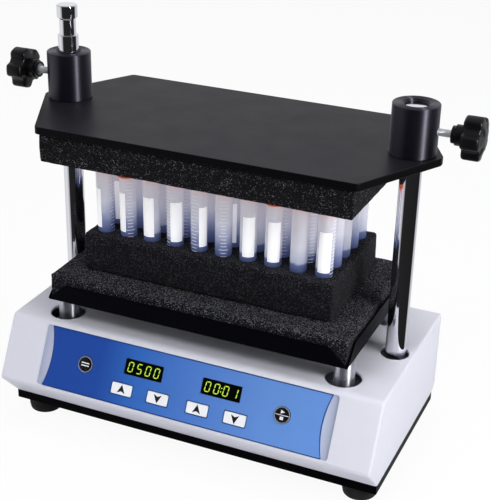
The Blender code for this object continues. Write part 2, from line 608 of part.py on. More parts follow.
def make_clamp_plate():
    right = [(PLATE_CORNER_X, -PLATE_HALF_DEPTH), (PLATE_TIP_X, -PLATE_TIP_HALF)]
    right += [(x, -y) for x, y in reversed(right)]
    outline = right + [(-x, -y) for x, y in right]
    plate = add("top_plate", prism(outline, PLATE_LOW, PLATE_TOP), "black_paint", at(0, PLATFORM_Y))
    half = (UPPER_FOAM_HALF_WIDTH, UPPER_FOAM_HALF_DEPTH)
    pad = prism(rectangle(*half), UPPER_FOAM_LOW, PLATE_LOW - GAP)
    add("upper_foam_pad", pad, "foam", at(0, PLATFORM_Y))
    for name, x in column_places().items():
        hole = prism(circle(COLLAR_BORE + SINK, SIDES["plain"]), PLATE_LOW - PAST, PLATE_TOP + PAST)
        cut(plate, f"column_way_{name}", hole, at(x, PLATFORM_Y))
        make_collar(name, x)
        make_knob(name, stud_place(x))


def stud_place(x):
    """On the platform's middle line at stud height, with local Z pointing out past the column at x."""
    side = Matrix.Rotation(0 if x > 0 else math.pi, 4, "Z")
    return at(0, PLATFORM_Y, STUD_Z) @ side @ ALONG_X


def make_collar(name, x):
    low, top = PLATE_TOP + GAP, PLATE_TOP + GAP + COLLAR_LENGTH
    ring = [(COLLAR_RADIUS, low), (COLLAR_RADIUS, top), (COLLAR_BORE + COLLAR_CHAMFER, top)]
    ring += [(COLLAR_BORE, top - COLLAR_CHAMFER), (COLLAR_BORE, low)]
    collar = add(f"collar_{name}", turned(ring, SIDES["fine"]), "black_anodised", at(x, PLATFORM_Y))
    hole = prism(circle(STUD_HOLE_RADIUS, SIDES["small"]), COLUMN_X, COLUMN_X + 2 * COLLAR_RADIUS)
    cut(collar, f"stud_hole_{name}", hole, stud_place(x))


def knob_ring(radius, z, shape):
    """One lobed ring of the knob: points that rise and fall KNOB_LOBES times round it."""
    count = 8 * KNOB_LOBES
    points = []
    for i in range(count):
        turn = 2 * math.pi * i / count
        reach = radius - KNOB_WAVE * math.cos(KNOB_LOBES * turn)
        points.append(shape.verts.new((reach * math.cos(turn), reach * math.sin(turn), z)))
    return points


def make_knob(name, place):
    tip, tail = COLUMN_X + COLUMN_RADIUS + GAP, HUB_END + STUD_IN_HEAD
    stud = turned(stepped((STUD_RADIUS, tip, tail)), SIDES["small"])
    add(f"clamp_stud_{name}", stud, "zinc", place)
    head = bmesh.new()
    edge = KNOB_END - KNOB_CROWN
    rings = [
        knob_ring(KNOB_RADIUS - KNOB_CHAMFER, HUB_END, head),
        knob_ring(KNOB_RADIUS, HUB_END + KNOB_CHAMFER, head),
        knob_ring(KNOB_RADIUS, edge, head),
        knob_ring(KNOB_RADIUS - KNOB_CROWN, edge + KNOB_SHOULDER, head),
    ]
    for lower, upper in zip(rings, rings[1:]):
        join_rings(head, lower, upper)
    head.faces.new(list(reversed(rings[0])))
    crown = head.verts.new((0, 0, KNOB_END))
    for i in range(len(rings[-1])):
        head.faces.new((crown, rings[-1][i], rings[-1][(i + 1) % len(rings[-1])]))
    knob = add(f"clamp_knob_{name}", head, "knob_black", place)
    hub = prism(circle(HUB_RADIUS, SIDES["plain"]), HUB_START, HUB_END + KNOB_CHAMFER)
    join(knob, f"knob_hub_{name}", hub, place)
    bore = prism(circle(STUD_HOLE_RADIUS, SIDES["small"]), HUB_START - PAST, tail + GAP)
    cut(knob, f"knob_bore_{name}", bore, place)


def make_power_supply():
    """A board on edge behind the drive, with a transformer and a capacitor on its rear side."""
    low, high = SUPPLY_HEIGHT
    half = BOARD_THICKNESS / 2
    board = prism(rectangle(SUPPLY_HALF_WIDTH, half, SUPPLY_X, SUPPLY_Y), low, high)
    board = add("power_supply", board, "circuit_board")
    for name, (half_x, half_y, x, z_low, z_high) in SUPPLY_PARTS.items():
        block = rectangle(half_x, half_y, SUPPLY_X + x, SUPPLY_Y + half_y - half / 2)
        join(board, name, prism(block, z_low, z_high))


def main():
    clear_scene()
    make_looks()
    make_housing()
    make_base()
    make_panel()
    make_inlet()
    make_power_supply()
    make_drive()
    make_orbit_plate()
    make_posts_and_columns()
    make_tray()
    make_foam_and_tubes()
    make_clamp_plate()


main()
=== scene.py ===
"""Multi-tube vortex mixer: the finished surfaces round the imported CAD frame.

Metres, +Z up, +X to the right of someone facing the control panel, which looks towards -Y.
"""

import math
import random

import bmesh
import bpy
from mathutils import Matrix, Vector, noise


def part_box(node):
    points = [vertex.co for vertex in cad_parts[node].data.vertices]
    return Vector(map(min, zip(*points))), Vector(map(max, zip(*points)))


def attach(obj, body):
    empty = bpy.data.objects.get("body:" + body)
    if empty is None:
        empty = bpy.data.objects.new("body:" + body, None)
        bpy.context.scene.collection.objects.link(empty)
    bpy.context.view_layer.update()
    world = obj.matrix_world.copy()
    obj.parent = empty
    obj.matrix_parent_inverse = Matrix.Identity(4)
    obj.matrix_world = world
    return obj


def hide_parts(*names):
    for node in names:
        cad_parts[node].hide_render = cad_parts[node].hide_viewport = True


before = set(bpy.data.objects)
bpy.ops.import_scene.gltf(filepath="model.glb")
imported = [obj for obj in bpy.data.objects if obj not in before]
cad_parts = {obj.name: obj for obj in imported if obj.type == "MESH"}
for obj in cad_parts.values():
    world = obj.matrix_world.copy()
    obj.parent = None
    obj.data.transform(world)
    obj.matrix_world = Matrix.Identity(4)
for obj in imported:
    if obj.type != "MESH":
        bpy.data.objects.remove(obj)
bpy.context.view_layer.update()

COLUMNS = {"left": -1, "right": 1}
CORNERS = ("front_left", "front_right", "rear_left", "rear_right")
SKIN = 0.0001  # how far print, ticks and arrows stand proud of what carries them

# Turns a shape made along local Z so that it lies along X, its local X along Y and its local Y along Z,
# or so that it lies along Y, its local X along Z and its local Y against X
ALONG_X = Matrix(((0, 0, 1), (1, 0, 0), (0, 1, 0))).to_4x4()
ALONG_Y = Matrix(((0, -1, 0), (0, 0, 1), (1, 0, 0))).to_4x4()

# ---- places read from the frame


def span(node):
    """Lowest corner, highest corner and middle of a CAD node."""
    low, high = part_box(node)
    return low, high, (low + high) / 2


HOUSING_LOW, HOUSING_HIGH, _ = span("housing_shell")
HOUSING_TOP = HOUSING_HIGH.z
POST_RADIUS = (span("post_front_left")[1].x - span("post_front_left")[0].x) / 2
COLUMN = {side: span(f"column_{side}") for side in COLUMNS}
PLATFORM_Y = COLUMN["left"][2].y
COLUMN_X = COLUMN["right"][2].x
COLUMN_RADIUS = (COLUMN["right"][1].x - COLUMN["right"][0].x) / 2

# The housing's side view, as in the CAD
LIP_LOW, LIP_HIGH = 0.0565, 0.0595
SLOPE_TOP_Y, CHIN_Y, REAR_CHAMFER = -0.0886, -0.0934, 0.006
WALL = 0.003
ORBIT_RADIUS = 0.0018
POST_HOLE_RADIUS, COLUMN_HOLE_RADIUS = 0.019, 0.015
LIP_Y = HOUSING_LOW.y
REAR_Y = 0.1185

# Control panel, in its own plane: x across, y up the slope, z out of it
SLOPE_ANGLE = math.atan2(HOUSING_TOP - LIP_HIGH, SLOPE_TOP_Y - LIP_Y)
PANEL_PLACE = Matrix.Translation(
    (0, (SLOPE_TOP_Y + LIP_Y) / 2, (HOUSING_TOP + LIP_HIGH) / 2)
) @ Matrix.Rotation(SLOPE_ANGLE, 4, "X")
PANEL_HALF_WIDTH, PANEL_LOW, PANEL_HIGH = 0.168, -0.0337, 0.0317
PANEL_ARC_CORNER, PANEL_ARC_MIDDLE = 0.1612, 0.1558
RECESS_DEPTH = 0.0015
OVERLAY_FACE = -0.0003
DISPLAY_SIZE, KEY_SIZE, ROUND_KEY_RADIUS = (0.044, 0.0165), (0.0238, 0.0118), 0.0085
KEY_FACE = OVERLAY_FACE + 0.0006
UNDER_KEYS = -0.0072  # how deep the keys and display windows reach
DISPLAYS = {"speed_display": (-0.0455, 0.0085), "time_display": (0.0440, 0.0085)}
KEYS = {
    "speed_up_key": (-0.0662, -0.0167),
    "speed_down_key": (-0.0238, -0.0167),
    "time_up_key": (0.0220, -0.0167),
    "time_down_key": (0.0645, -0.0167),
}
ROUND_KEYS = {"mode_key": (-0.1138, -0.0006), "start_stop_key": (0.1132, -0.0006)}

# ---- outlines and solids


def arc(middle, radius, start, end, steps):
    """Points on a circle from one angle to another, in degrees."""
    turns = [math.radians(start + (end - start) * i / steps) for i in range(steps + 1)]
    return [(middle[0] + radius * math.cos(t), middle[1] + radius * math.sin(t)) for t in turns]


def circle(radius, sides):
    return arc((0, 0), radius, 0, 360 * (sides - 1) / sides, sides - 1)


def rectangle(half_x, half_y, middle=(0, 0)):
    corners = ((-1, -1), (1, -1), (1, 1), (-1, 1))
    return [(middle[0] + half_x * x, middle[1] + half_y * y) for x, y in corners]


def cross_outline(reach, thick):
    """A plus sign, such as the slots of a screw's head."""
    turns = [Matrix.Rotation(math.pi / 2 * i, 2) for i in range(4)]
    return [tuple(turn @ Vector(point)) for turn in turns
            for point in ((reach, -thick), (reach, thick), (thick, thick))]


def rounded(points, radius, steps=4, ends=True):
    """The outline with each corner turned into an arc. The radius is one number, or one for each point.
    With ends False the first and last points stay as they are."""
    out, count = [], len(points)
    for i, point in enumerate(points):
        wanted = radius[i] if isinstance(radius, (list, tuple)) else radius
        if wanted <= 0 or (not ends and i in (0, count - 1)):
            out.append(tuple(point))
            continue
        corner = Vector(point)
        back, ahead = Vector(points[i - 1]) - corner, Vector(points[(i + 1) % count]) - corner
        half = back.angle(ahead) / 2
        if half > math.radians(89.5):
            out.append(tuple(point))
            continue
        reach = min(wanted / math.tan(half), 0.49 * back.length, 0.49 * ahead.length)
        back, ahead = back.normalized(), ahead.normalized()
        middle = corner + (back + ahead).normalized() * reach / math.cos(half)
        start, end = corner + back * reach - middle, corner + ahead * reach - middle
        sweep = math.atan2(start.x * end.y - start.y * end.x, start.dot(end))
        for k in range(steps + 1):
            out.append(tuple(middle + Matrix.Rotation(sweep * k / steps, 2) @ start))
    return out


def join_rings(shape, lower, upper):
    for i in range(len(lower)):
        j = (i + 1) % len(lower)
        shape.faces.new((lower[i], lower[j], upper[j], upper[i]))


def loft(rings, capped=True):
    """A solid through rings of 3D points, all with as many points."""
    shape = bmesh.new()
    made = [[shape.verts.new(point) for point in ring] for ring in rings]
    for lower, upper in zip(made, made[1:]):
        join_rings(shape, lower, upper)
    if capped:
        shape.faces.new(list(reversed(made[0])))
        shape.faces.new(made[-1])
    return shape


def prism(outline, low, high):
    return loft([[(x, y, z) for x, y in outline] for z in (low, high)])


def turned(profile, sides=48):
    """A solid turned about Z. Its (radius, z) points start and end on the axis, or close on themselves."""
    shape = bmesh.new()
    turns = [2 * math.pi * (i + 0.5) / sides for i in range(sides)]
    rings = []
    for radius, z in profile:
        if radius < 1e-9:
            rings.append([shape.verts.new((0, 0, z))])
        else:
            rings.append([shape.verts.new((radius * math.cos(t), radius * math.sin(t), z)) for t in turns])
    if profile[0][0] >= 1e-9:
        rings.append(rings[0])
    for lower, upper in zip(rings, rings[1:]):
        if len(lower) > 1 and len(upper) > 1:
            join_rings(shape, lower, upper)
            continue
        tip, ring = (lower[0], upper) if len(lower) == 1 else (upper[0], lower)
        for i in range(sides):
            shape.faces.new((tip, ring[i], ring[(i + 1) % sides]))
    return shape


def lathe(profile, sides, steps=4):
    """A solid turned about Z from (radius, z, rounding) points that start and end on the axis."""
    radii = [soft for _, _, soft in profile]
    return turned(rounded([(radius, z) for radius, z, _ in profile], radii, steps, False), sides)


def curved_patch(radius, thickness, middle_turn, width, low, high, steps=6):
    """A thin sheet wrapped round Z: print or a label on a tube. Turns are in degrees, 0 towards -Y."""
    ends = (middle_turn - 90 - width / 2, middle_turn - 90 + width / 2)
    inner, outer = (arc((0, 0), reach, *ends, steps) for reach in (radius, radius + thickness))
    return loft([[(*a, low), (*b, low), (*b, high), (*a, high)] for a, b in zip(inner, outer)])


def merged(*shapes):
    """One bmesh that holds several closed solids."""
    whole = bmesh.new()
    for shape in shapes:
        mesh = bpy.data.meshes.new("part")
        shape.to_mesh(mesh)
        shape.free()
        whole.from_mesh(mesh)
        bpy.data.meshes.remove(mesh)
    return whole


def moved(shape, place):
    shape.transform(place)
    return shape


def at(x, y, z=0.0):
    return Matrix.Translation((x, y, z))


# ---- materials

LOOKS = {}


def shade(red, green, blue):
    """A colour as the eye sees it on a screen, 0 to 255, as the linear values that the shader takes."""
    return tuple((c / 255) ** 2.2 for c in (red, green, blue)) + (1.0,)


class Nodes:
    """A node tree and the few calls that it needs."""

    def __init__(self, tree):
        self.tree = tree

    def feed(self, socket, value):
        if isinstance(value, bpy.types.NodeSocket):
            self.tree.links.new(value, socket)
        else:
            socket.default_value = value

    def node(self, kind, settings=None, **inputs):
        made = self.tree.nodes.new(kind)
        for key, value in (settings or {}).items():
            setattr(made, key, value)
        for key, value in inputs.items():
            self.feed(made.inputs[key.replace("_", " ")], value)
        return made

    def ramp(self, value, stops):
        """A colour, or a number, from a value: stops are (position, colour or number)."""
        made = self.node("ShaderNodeValToRGB", Fac=value)
        elements = made.color_ramp.elements
        while len(elements) < len(stops):
            elements.new(0.5)
        for element, (position, colour) in zip(elements, stops):
            element.position = position
            element.color = colour if isinstance(colour, tuple) else (colour, colour, colour, 1)
        return made.outputs["Color"]

    def between(self, value, low, high):
        """0 at the low value, 1 at the high one, and even between them."""
        return self.node("ShaderNodeMapRange", Value=value, From_Min=low, From_Max=high).outputs["Result"]

    def sum(self, first, second, operation="ADD"):
        made = self.node("ShaderNodeMath", {"operation": operation})
        self.feed(made.inputs[0], first)
        self.feed(made.inputs[1], second)
        return made.outputs[0]

    def times(self, first, second):
        return self.sum(first, second, "MULTIPLY")

    def swing(self, noise, reach):
        """A noise moved so that it swings evenly about 0."""
        return self.times(self.sum(noise, 0.5, "SUBTRACT"), reach)

    def mix(self, share, first, second):
        made = self.node("ShaderNodeMix", {"data_type": "RGBA"})
        for socket, value in ((0, share), (6, first), (7, second)):
            self.feed(made.inputs[socket], value)
        return made.outputs[2]


class Look(Nodes):
    """A material, and what its surface needs beyond a plain colour."""

    def __init__(self, name, roughness, metallic=0.0, **sockets):
        self.material = bpy.data.materials.new(name)
        self.material.use_nodes = True
        super().__init__(self.material.node_tree)
        self.shader = self.tree.nodes["Principled BSDF"]
        for socket, value in {"Roughness": roughness, "Metallic": metallic, **sockets}.items():
            self.shader.inputs[socket.replace("_", " ")].default_value = value
        self.place = self.node("ShaderNodeTexCoord").outputs["Object"]
        LOOKS[name] = self.material

    def along(self, axis):
        """How far along X, Y or Z the point lies."""
        return self.node("ShaderNodeSeparateXYZ", Vector=self.place).outputs[axis]

    def noise(self, scale, detail=3.0, roughness=0.55, stretch=None):
        where = self.place
        if stretch:
            where = self.node("ShaderNodeMapping", Vector=self.place, Scale=stretch).outputs["Vector"]
        made = self.node("ShaderNodeTexNoise", Vector=where, Scale=scale, Detail=detail, Roughness=roughness)
        return made.outputs["Fac"]

    def set(self, socket, value, stops=None):
        """Feeds a shader socket with the value, or with its ramp over the stops."""
        self.feed(self.shader.inputs[socket], self.ramp(value, stops) if stops else value)

    def bump(self, height, strength, distance):
        made = self.node("ShaderNodeBump", Height=height, Strength=strength, Distance=distance)
        self.set("Normal", made.outputs["Normal"])


def mottled(colour, spread):
    """The same colour a little darker and a little lighter."""
    return [tuple(min(c * (1 + k * spread), 1.0) for c in colour[:3]) + (1.0,) for k in (-1, 1)]


def plain_finish(name, colour, roughness, metallic=0.0, spread=0.05, grain=900, depth=0.00002, patches=30,
                 stretch=None, wear=0.06, **sockets):
    """Paint, plastic or metal: slow patches in colour and gloss over a fine grain."""
    look = Look(name, roughness, metallic, **sockets)
    slow = look.noise(patches, 4.0)
    darker, lighter = mottled(shade(*colour), spread)
    look.set("Base Color", slow, [(0.3, darker), (0.7, lighter)])
    fine = look.noise(grain, 2.0, stretch=stretch)
    both = look.sum(look.times(slow, 0.5), look.times(fine, 0.5))
    look.set("Roughness", both, [(0.3, max(roughness - wear, 0.0)), (0.7, roughness + wear)])
    if depth:
        look.bump(fine, 0.4, depth)
    return look


def make_foam_look(name, dark, light, share, pore, band=None):
    """Cut foam: torn cells about a millimetre across, a share of them catching the light.
    A band is the two heights between which the foam is painted paler: a painted highlight along the top edge,
    where the light from above catches it."""
    look = Look(name, 0.95, Specular_IOR_Level=0.12, Sheen_Weight=0.04, Sheen_Roughness=0.5)
    cells = look.node("ShaderNodeTexVoronoi", Vector=look.place, Scale=pore, Randomness=1.0).outputs
    coarse = look.node("ShaderNodeTexVoronoi", Vector=look.place, Scale=pore * 0.5).outputs
    lot = look.node("ShaderNodeSeparateColor", Color=cells["Color"]).outputs["Red"]
    broad, fine = look.noise(70, 3.0), look.noise(pore * 1.4, 2.0)
    wanted = look.sum(lot, look.swing(broad, 0.3))
    # painted highlight: more cells are lit between the band's heights
    if band:
        wanted = look.sum(wanted, look.times(look.between(look.along("Z"), *band), 0.12))
    lit = look.ramp(wanted, [(1 - share * 2.2, 0.0), (1 - share, 0.3), (1 - share * 0.3, 1.0)])
    lit = look.times(lit, look.ramp(fine, [(0.3, 0.35), (0.7, 1.0)]))
    look.set("Base Color", look.mix(lit, shade(*dark), shade(*light)))
    height = look.sum(cells["Distance"], look.times(coarse["Distance"], 0.8))
    look.bump(look.sum(height, fine), 1.0, 0.0011)


def make_plate_look():
    """Satin black on the broad faces, and the cut edges painted a darker black: painted shade, since the
    lights would show them grey.
    """
    look = plain_finish("plate_black", (31, 30, 34), 0.42, spread=0.04, grain=1600, Specular_IOR_Level=0.11)
    # painted shade: faces that face neither up nor down take the darker black
    normal = look.node("ShaderNodeTexCoord").outputs["Normal"]
    upward = look.sum(look.node("ShaderNodeSeparateXYZ", Vector=normal).outputs["Z"], 0.0, "ABSOLUTE")
    broad = look.shader.inputs["Base Color"].links[0].from_socket
    look.set("Base Color", look.mix(look.between(upward, 0.3, 0.9), shade(14, 14, 17), broad))


def make_looks():
    plain_finish("housing_paint", (222, 223, 235), 0.4, spread=0.012, grain=1400, depth=0.00003)
    plain_finish("black_paint", (13, 12, 18), 0.45, spread=0.08, grain=1200, depth=0.00005,
                 Specular_IOR_Level=0.04)
    make_plate_look()
    plain_finish("black_anodised", (20, 19, 27), 0.5, spread=0.05, grain=1500, depth=0.00001, wear=0.03,
                 stretch=(0.05, 0.05, 1.0), Specular_IOR_Level=0.9, Specular_Tint=shade(236, 232, 255),
                 Anisotropic=0.95, Anisotropic_Rotation=0.25)
    plain_finish("rubber", (30, 30, 32), 0.8, spread=0.12, grain=1100, depth=0.00008)
    plain_finish("chrome", (238, 238, 243), 0.055, 1.0, spread=0.015, grain=700, depth=0, wear=0.02)
    plain_finish("satin_rod", (226, 227, 234), 0.36, 1.0, spread=0.02, depth=0, wear=0.02, Anisotropic=0.9,
                 Anisotropic_Rotation=0.25)
    plain_finish("zinc", (214, 215, 222), 0.4, 0.6, spread=0.06, grain=1500)
    plain_finish("steel", (170, 171, 174), 0.34, 1.0, spread=0.06, stretch=(1.0, 0.1, 1.0))
    plain_finish("bare_aluminium", (205, 206, 210), 0.38, 1.0, stretch=(0.1, 1.0, 1.0))
    plain_finish("knob_plastic", (18, 18, 20), 0.36, spread=0.1, grain=1300, depth=0.00004,
                 Specular_IOR_Level=0.35)
    plain_finish("inlet_plastic", (22, 22, 23), 0.42, spread=0.1, grain=1200, depth=0.00004)
    plain_finish("key_white", (248, 250, 255), 0.38, spread=0.012, grain=1000)
    plain_finish("key_black", (26, 26, 30), 0.25, spread=0.06, grain=1000)
    plain_finish("print_black", (22, 22, 26), 0.5)
    plain_finish("print_white", (236, 238, 246), 0.5, spread=0.02)
    # painted shade: the navy bands along the overlay's edge and in the gaps round the keys
    plain_finish("painted_shade_navy", (14, 40, 96), 0.4)
    plain_finish("silver", (190, 194, 205), 0.3, 0.6, spread=0.04)
    plain_finish("display_glass", (8, 9, 10), 0.12, grain=500, depth=0.000004)
    plain_finish("circuit_board", (24, 96, 56), 0.45, spread=0.12, patches=220)
    # painted light: the labels glow a little so they read whiter
    plain_finish("label_paper", (250, 250, 252), 0.6, spread=0.015, grain=1800, depth=0.00004,
                 Emission_Color=shade(250, 250, 252), Emission_Strength=0.3)
    plain_finish("orange_cap", (238, 98, 34), 0.4, spread=0.04)
    make_panel_look()
    make_recess_look()
    make_digit_look()
    make_tube_looks()
    make_foam_look("foam_upper", (14, 14, 18), (140, 140, 150), 0.06, 1300.0)
    # The last pair of numbers is the band of painted highlight along the block's top edge.
    make_foam_look("foam_lower", (17, 17, 22), (150, 150, 164), 0.09, 1300.0, (0.169, 0.1755))
    make_foam_look("foam_rack", (17, 17, 22), (96, 96, 108), 0.11, 1400.0, (0.2125, 0.219))


def make_panel_look():
    """Printed film: deep blue at the left, fading to a lighter blue at the right."""
    look = Look("panel_blue", 0.4, Specular_IOR_Level=0.15)
    across = look.between(look.along("X"), -PANEL_ARC_CORNER, PANEL_ARC_CORNER)
    stops = [(0.0, shade(0, 66, 156)), (0.2, shade(2, 68, 158)), (0.32, shade(38, 98, 186)),
             (0.55, shade(74, 122, 204)), (0.8, shade(96, 142, 216)), (1.0, shade(100, 146, 220))]
    grain = look.noise(1500, 2.0)
    look.set("Base Color", look.mix(look.times(grain, 0.03), look.ramp(across, stops), shade(255, 255, 255)))
    look.set("Roughness", grain, [(0.3, 0.3), (0.7, 0.42)])
    look.bump(grain, 0.3, 0.00002)


def make_recess_look():
    """Painted shade in the recess: the housing's paint made darker, and darker still towards the recess's end
    wall.
    """
    look = Look("recess_shade", 0.45)
    away = look.between(look.sum(look.along("X"), 0.0, "ABSOLUTE"), PANEL_ARC_MIDDLE, PANEL_HALF_WIDTH)
    fade = look.sum(away, look.swing(look.noise(500), 0.08))
    look.set("Base Color", fade, [(0.0, shade(196, 204, 226)), (1.0, shade(160, 168, 194))])


def make_digit_look():
    look = Look("digit_light", 0.5, Base_Color=shade(40, 52, 16), Emission_Strength=0.95)
    glow = [(0.35, shade(186, 232, 58)), (0.65, shade(200, 240, 74))]
    look.set("Emission Color", look.noise(600, 1.0), glow)


# What a tube shows through its wall, by height above its tip in metres
# The pinkish top stops are painted light: orange light from the caps coming through the cloudy plastic.
TUBE_TINTS = {
    "tube_wall_full": [(0.032, (80, 92, 138)), (0.044, (116, 127, 168)), (0.056, (174, 178, 202)),
                       (0.068, (206, 207, 220)), (0.092, (214, 211, 219)), (0.103, (224, 202, 202))],
    "tube_wall_half": [(0.032, (72, 84, 124)), (0.040, (98, 109, 152)), (0.0425, (178, 182, 202)),
                       (0.060, (208, 209, 220)), (0.092, (212, 209, 218)), (0.103, (224, 200, 200))],
}


def make_tube_looks():
    """Cloudy plastic, with the liquid's colour coming through up to its level, and a painted glow in the same
    colours.
    """
    for name, tints in TUBE_TINTS.items():
        # Painted light: the walls glow in their own colours, standing in for light scattered through the
        # plastic from tube to tube.
        wall = Look(name, 0.16, Transmission_Weight=0.12, IOR=1.4, Emission_Strength=0.2)
        cloud = wall.noise(120, 3.0)
        low, high = tints[0][0], tints[-1][0]
        height = wall.between(wall.sum(wall.along("Z"), wall.swing(cloud, 0.006)), low, high)
        colour = wall.ramp(height, [((level - low) / (high - low), shade(*tint)) for level, tint in tints])
        wall.set("Base Color", colour)
        wall.set("Emission Color", colour)  # light scattered from tube to tube
        wall.set("Roughness", cloud, [(0.3, 0.12), (0.7, 0.22)])
        wall.bump(wall.noise(500), 0.2, 0.00003)
    liquid = Look("tube_liquid", 0.12, Transmission_Weight=0.25, IOR=1.33)
    liquid.set("Base Color", liquid.noise(220), [(0.3, shade(62, 84, 156)), (0.7, shade(104, 126, 196))])


# ---- pieces


def added(name, data):
    obj = bpy.data.objects.new(name, data)
    bpy.context.scene.collection.objects.link(obj)
    return obj


def smooth(mesh, below=35):
    """Smooth shading, except over edges whose faces meet at more than this angle, in degrees."""
    mesh.shade_smooth()
    mesh.set_sharp_from_angle(angle=math.radians(below))


def mesh_of(shape, name, smooth_below=35):
    bmesh.ops.recalc_face_normals(shape, faces=shape.faces)
    mesh = bpy.data.meshes.new(name)
    shape.to_mesh(mesh)
    shape.free()
    smooth(mesh, smooth_below)
    return mesh


def piece(name, shape, look, body, stands_for=None, place=None, smooth_below=35):
    """Puts a shape in the scene as a piece that rides on a body and may stand for a CAD node.
    Its look is its material."""
    mesh = mesh_of(shape, name, smooth_below)
    mesh.materials.append(LOOKS[look])
    return placed(name, mesh, body, stands_for, place)


def placed(name, mesh, body, stands_for, place):
    obj = added(name, mesh)
    obj.matrix_world = place or Matrix()
    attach(obj, body)
    if stands_for:
        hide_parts(stands_for)
    return obj


def cut(target, shapes, smooth_below=35):
    """Cuts the shapes, given in the target's own axes, from it for good."""
    tool = added("cutter", mesh_of(merged(*shapes), "cutter"))
    tool.matrix_world = target.matrix_world
    modifier = target.modifiers.new("cut", "BOOLEAN")
    modifier.object = tool
    modifier.solver = "EXACT"
    settle(target)
    bpy.data.meshes.remove(tool.data)
    smooth(target.data, smooth_below)


def settle(obj):
    """Replaces the mesh with what the modifiers make of it."""
    bpy.context.view_layer.update()
    evaluated = obj.evaluated_get(bpy.context.evaluated_depsgraph_get())
    made = bpy.data.meshes.new_from_object(evaluated)
    made.name = obj.name
    old = obj.data
    obj.modifiers.clear()
    obj.data = made
    bpy.data.meshes.remove(old)


def round_edges(obj, width, segments=3, above=30):
    """Rounds the sharp edges and keeps the broad faces flat in the shading."""
    bevel = obj.modifiers.new("rounding", "BEVEL")
    bevel.width = width
    bevel.segments = segments
    bevel.limit_method = "ANGLE"
    bevel.angle_limit = math.radians(above)
    bevel.use_clamp_overlap = True
    obj.data.shade_smooth()
    weighted = obj.modifiers.new("flat faces", "WEIGHTED_NORMAL")
    weighted.keep_sharp = True
    return obj


def dress(node, look, rounding=0.0):
    """A CAD node that keeps its shape: a better material and rounded edges."""
    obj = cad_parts[node]
    obj.data.materials.clear()
    obj.data.materials.append(LOOKS[look])
    if rounding:
        weld = obj.modifiers.new("weld", "WELD")
        weld.merge_threshold = 0.00001
        round_edges(obj, rounding)
    return obj


# ---- housing and base


def housing_outline(inset, soft=True):
    """The housing's side view, (y, z), moved inwards by the inset, its corners rounded if soft."""
    top, rear = HOUSING_TOP - inset, REAR_Y - inset
    slope_shift = inset * math.tan(SLOPE_ANGLE / 2)
    lip = inset / math.sin(SLOPE_ANGLE)
    points = [
        (CHIN_Y + lip, HOUSING_LOW.z),
        (rear - REAR_CHAMFER, HOUSING_LOW.z),
        (rear, HOUSING_LOW.z + REAR_CHAMFER),
        (rear, top),
        (SLOPE_TOP_Y + slope_shift, top),
        (LIP_Y + lip, LIP_HIGH),
        (LIP_Y + lip, LIP_LOW),
    ]
    if not soft:
        return points
    radii = [0, 0, 0.0026, 0.0036 - inset * 0.6, 0.0072 - inset * 0.6, 0.0014, 0.0014]
    return rounded(points, radii, 6)


def make_housing():
    half, edge, steps = HOUSING_HIGH.x, 0.0024, 6
    # From the flat end face, where the outline is smallest, to where the full outline starts: (x, inset)
    stations = arc((half - edge, edge), edge, 0, -90, steps)
    rings = [[(x, y, z) for y, z in housing_outline(inset)] for x, inset in stations]
    rings += [[(-x, y, z) for y, z in housing_outline(inset)] for x, inset in reversed(stations)]
    housing = piece("housing_shell_skin", loft(rings), "housing_paint", "base", "housing_shell")
    inside = housing_outline(WALL, False)
    inside[1:1] = [(y, HOUSING_LOW.z - 0.01) for y, _ in inside[:2]]
    cavity = moved(prism(inside, -half + WALL, half - WALL), ALONG_X)
    for shapes in ([cavity], platform_hole_cutters(), *panel_cutters()):
        cut(housing, shapes)


def platform_hole_cutters():
    """The six holes in the top, each with its rim rolled over."""
    holes = [(span(f"post_{corner}")[2], POST_HOLE_RADIUS) for corner in CORNERS]
    holes += [(COLUMN[side][2], COLUMN_HOLE_RADIUS) for side in COLUMNS]
    rim, made = 0.0009, []
    for middle, radius in holes:
        profile = [(0, HOUSING_TOP - 2 * WALL), (radius, HOUSING_TOP - 2 * WALL)]
        profile += arc((radius + rim, HOUSING_TOP - rim), rim, 180, 90, 4)
        profile += [(radius + rim, HOUSING_TOP + WALL), (0, HOUSING_TOP + WALL)]
        made.append(moved(turned(profile, 64), at(middle.x, middle.y - ORBIT_RADIUS)))
    return made


def panel_cutters():
    """The recess for the overlay, the ways through it, and the opening for the mains inlet."""
    gap, deep, out = 0.0003, -0.014, 0.01
    middle_y = (PANEL_LOW + PANEL_HIGH) / 2
    recess = rectangle(PANEL_HALF_WIDTH, (PANEL_HIGH - PANEL_LOW) / 2 + gap, (0, middle_y))
    recess = moved(prism(rounded(recess, 0.0034, 5), -RECESS_DEPTH, out), PANEL_PLACE)
    ways = []
    for size, places in ((DISPLAY_SIZE, DISPLAYS), (KEY_SIZE, KEYS)):
        for middle in places.values():
            ways.append(prism(rectangle(size[0] / 2 + gap, size[1] / 2 + gap, middle), deep, out / 2))
    for middle in ROUND_KEYS.values():
        ways.append(moved(prism(circle(ROUND_KEY_RADIUS + 2 * gap, 40), deep, out / 2), at(*middle)))
    ways = [moved(shape, PANEL_PLACE) for shape in ways]
    inlet = span("power_inlet")[2]
    half_x, half_z = 0.0136 + gap, 0.0235 + gap
    inlet_way = moved(prism(rectangle(half_z, half_x, (inlet.z, -inlet.x)), 0.11, 0.13), ALONG_Y)
    return [recess], ways, [inlet_way]


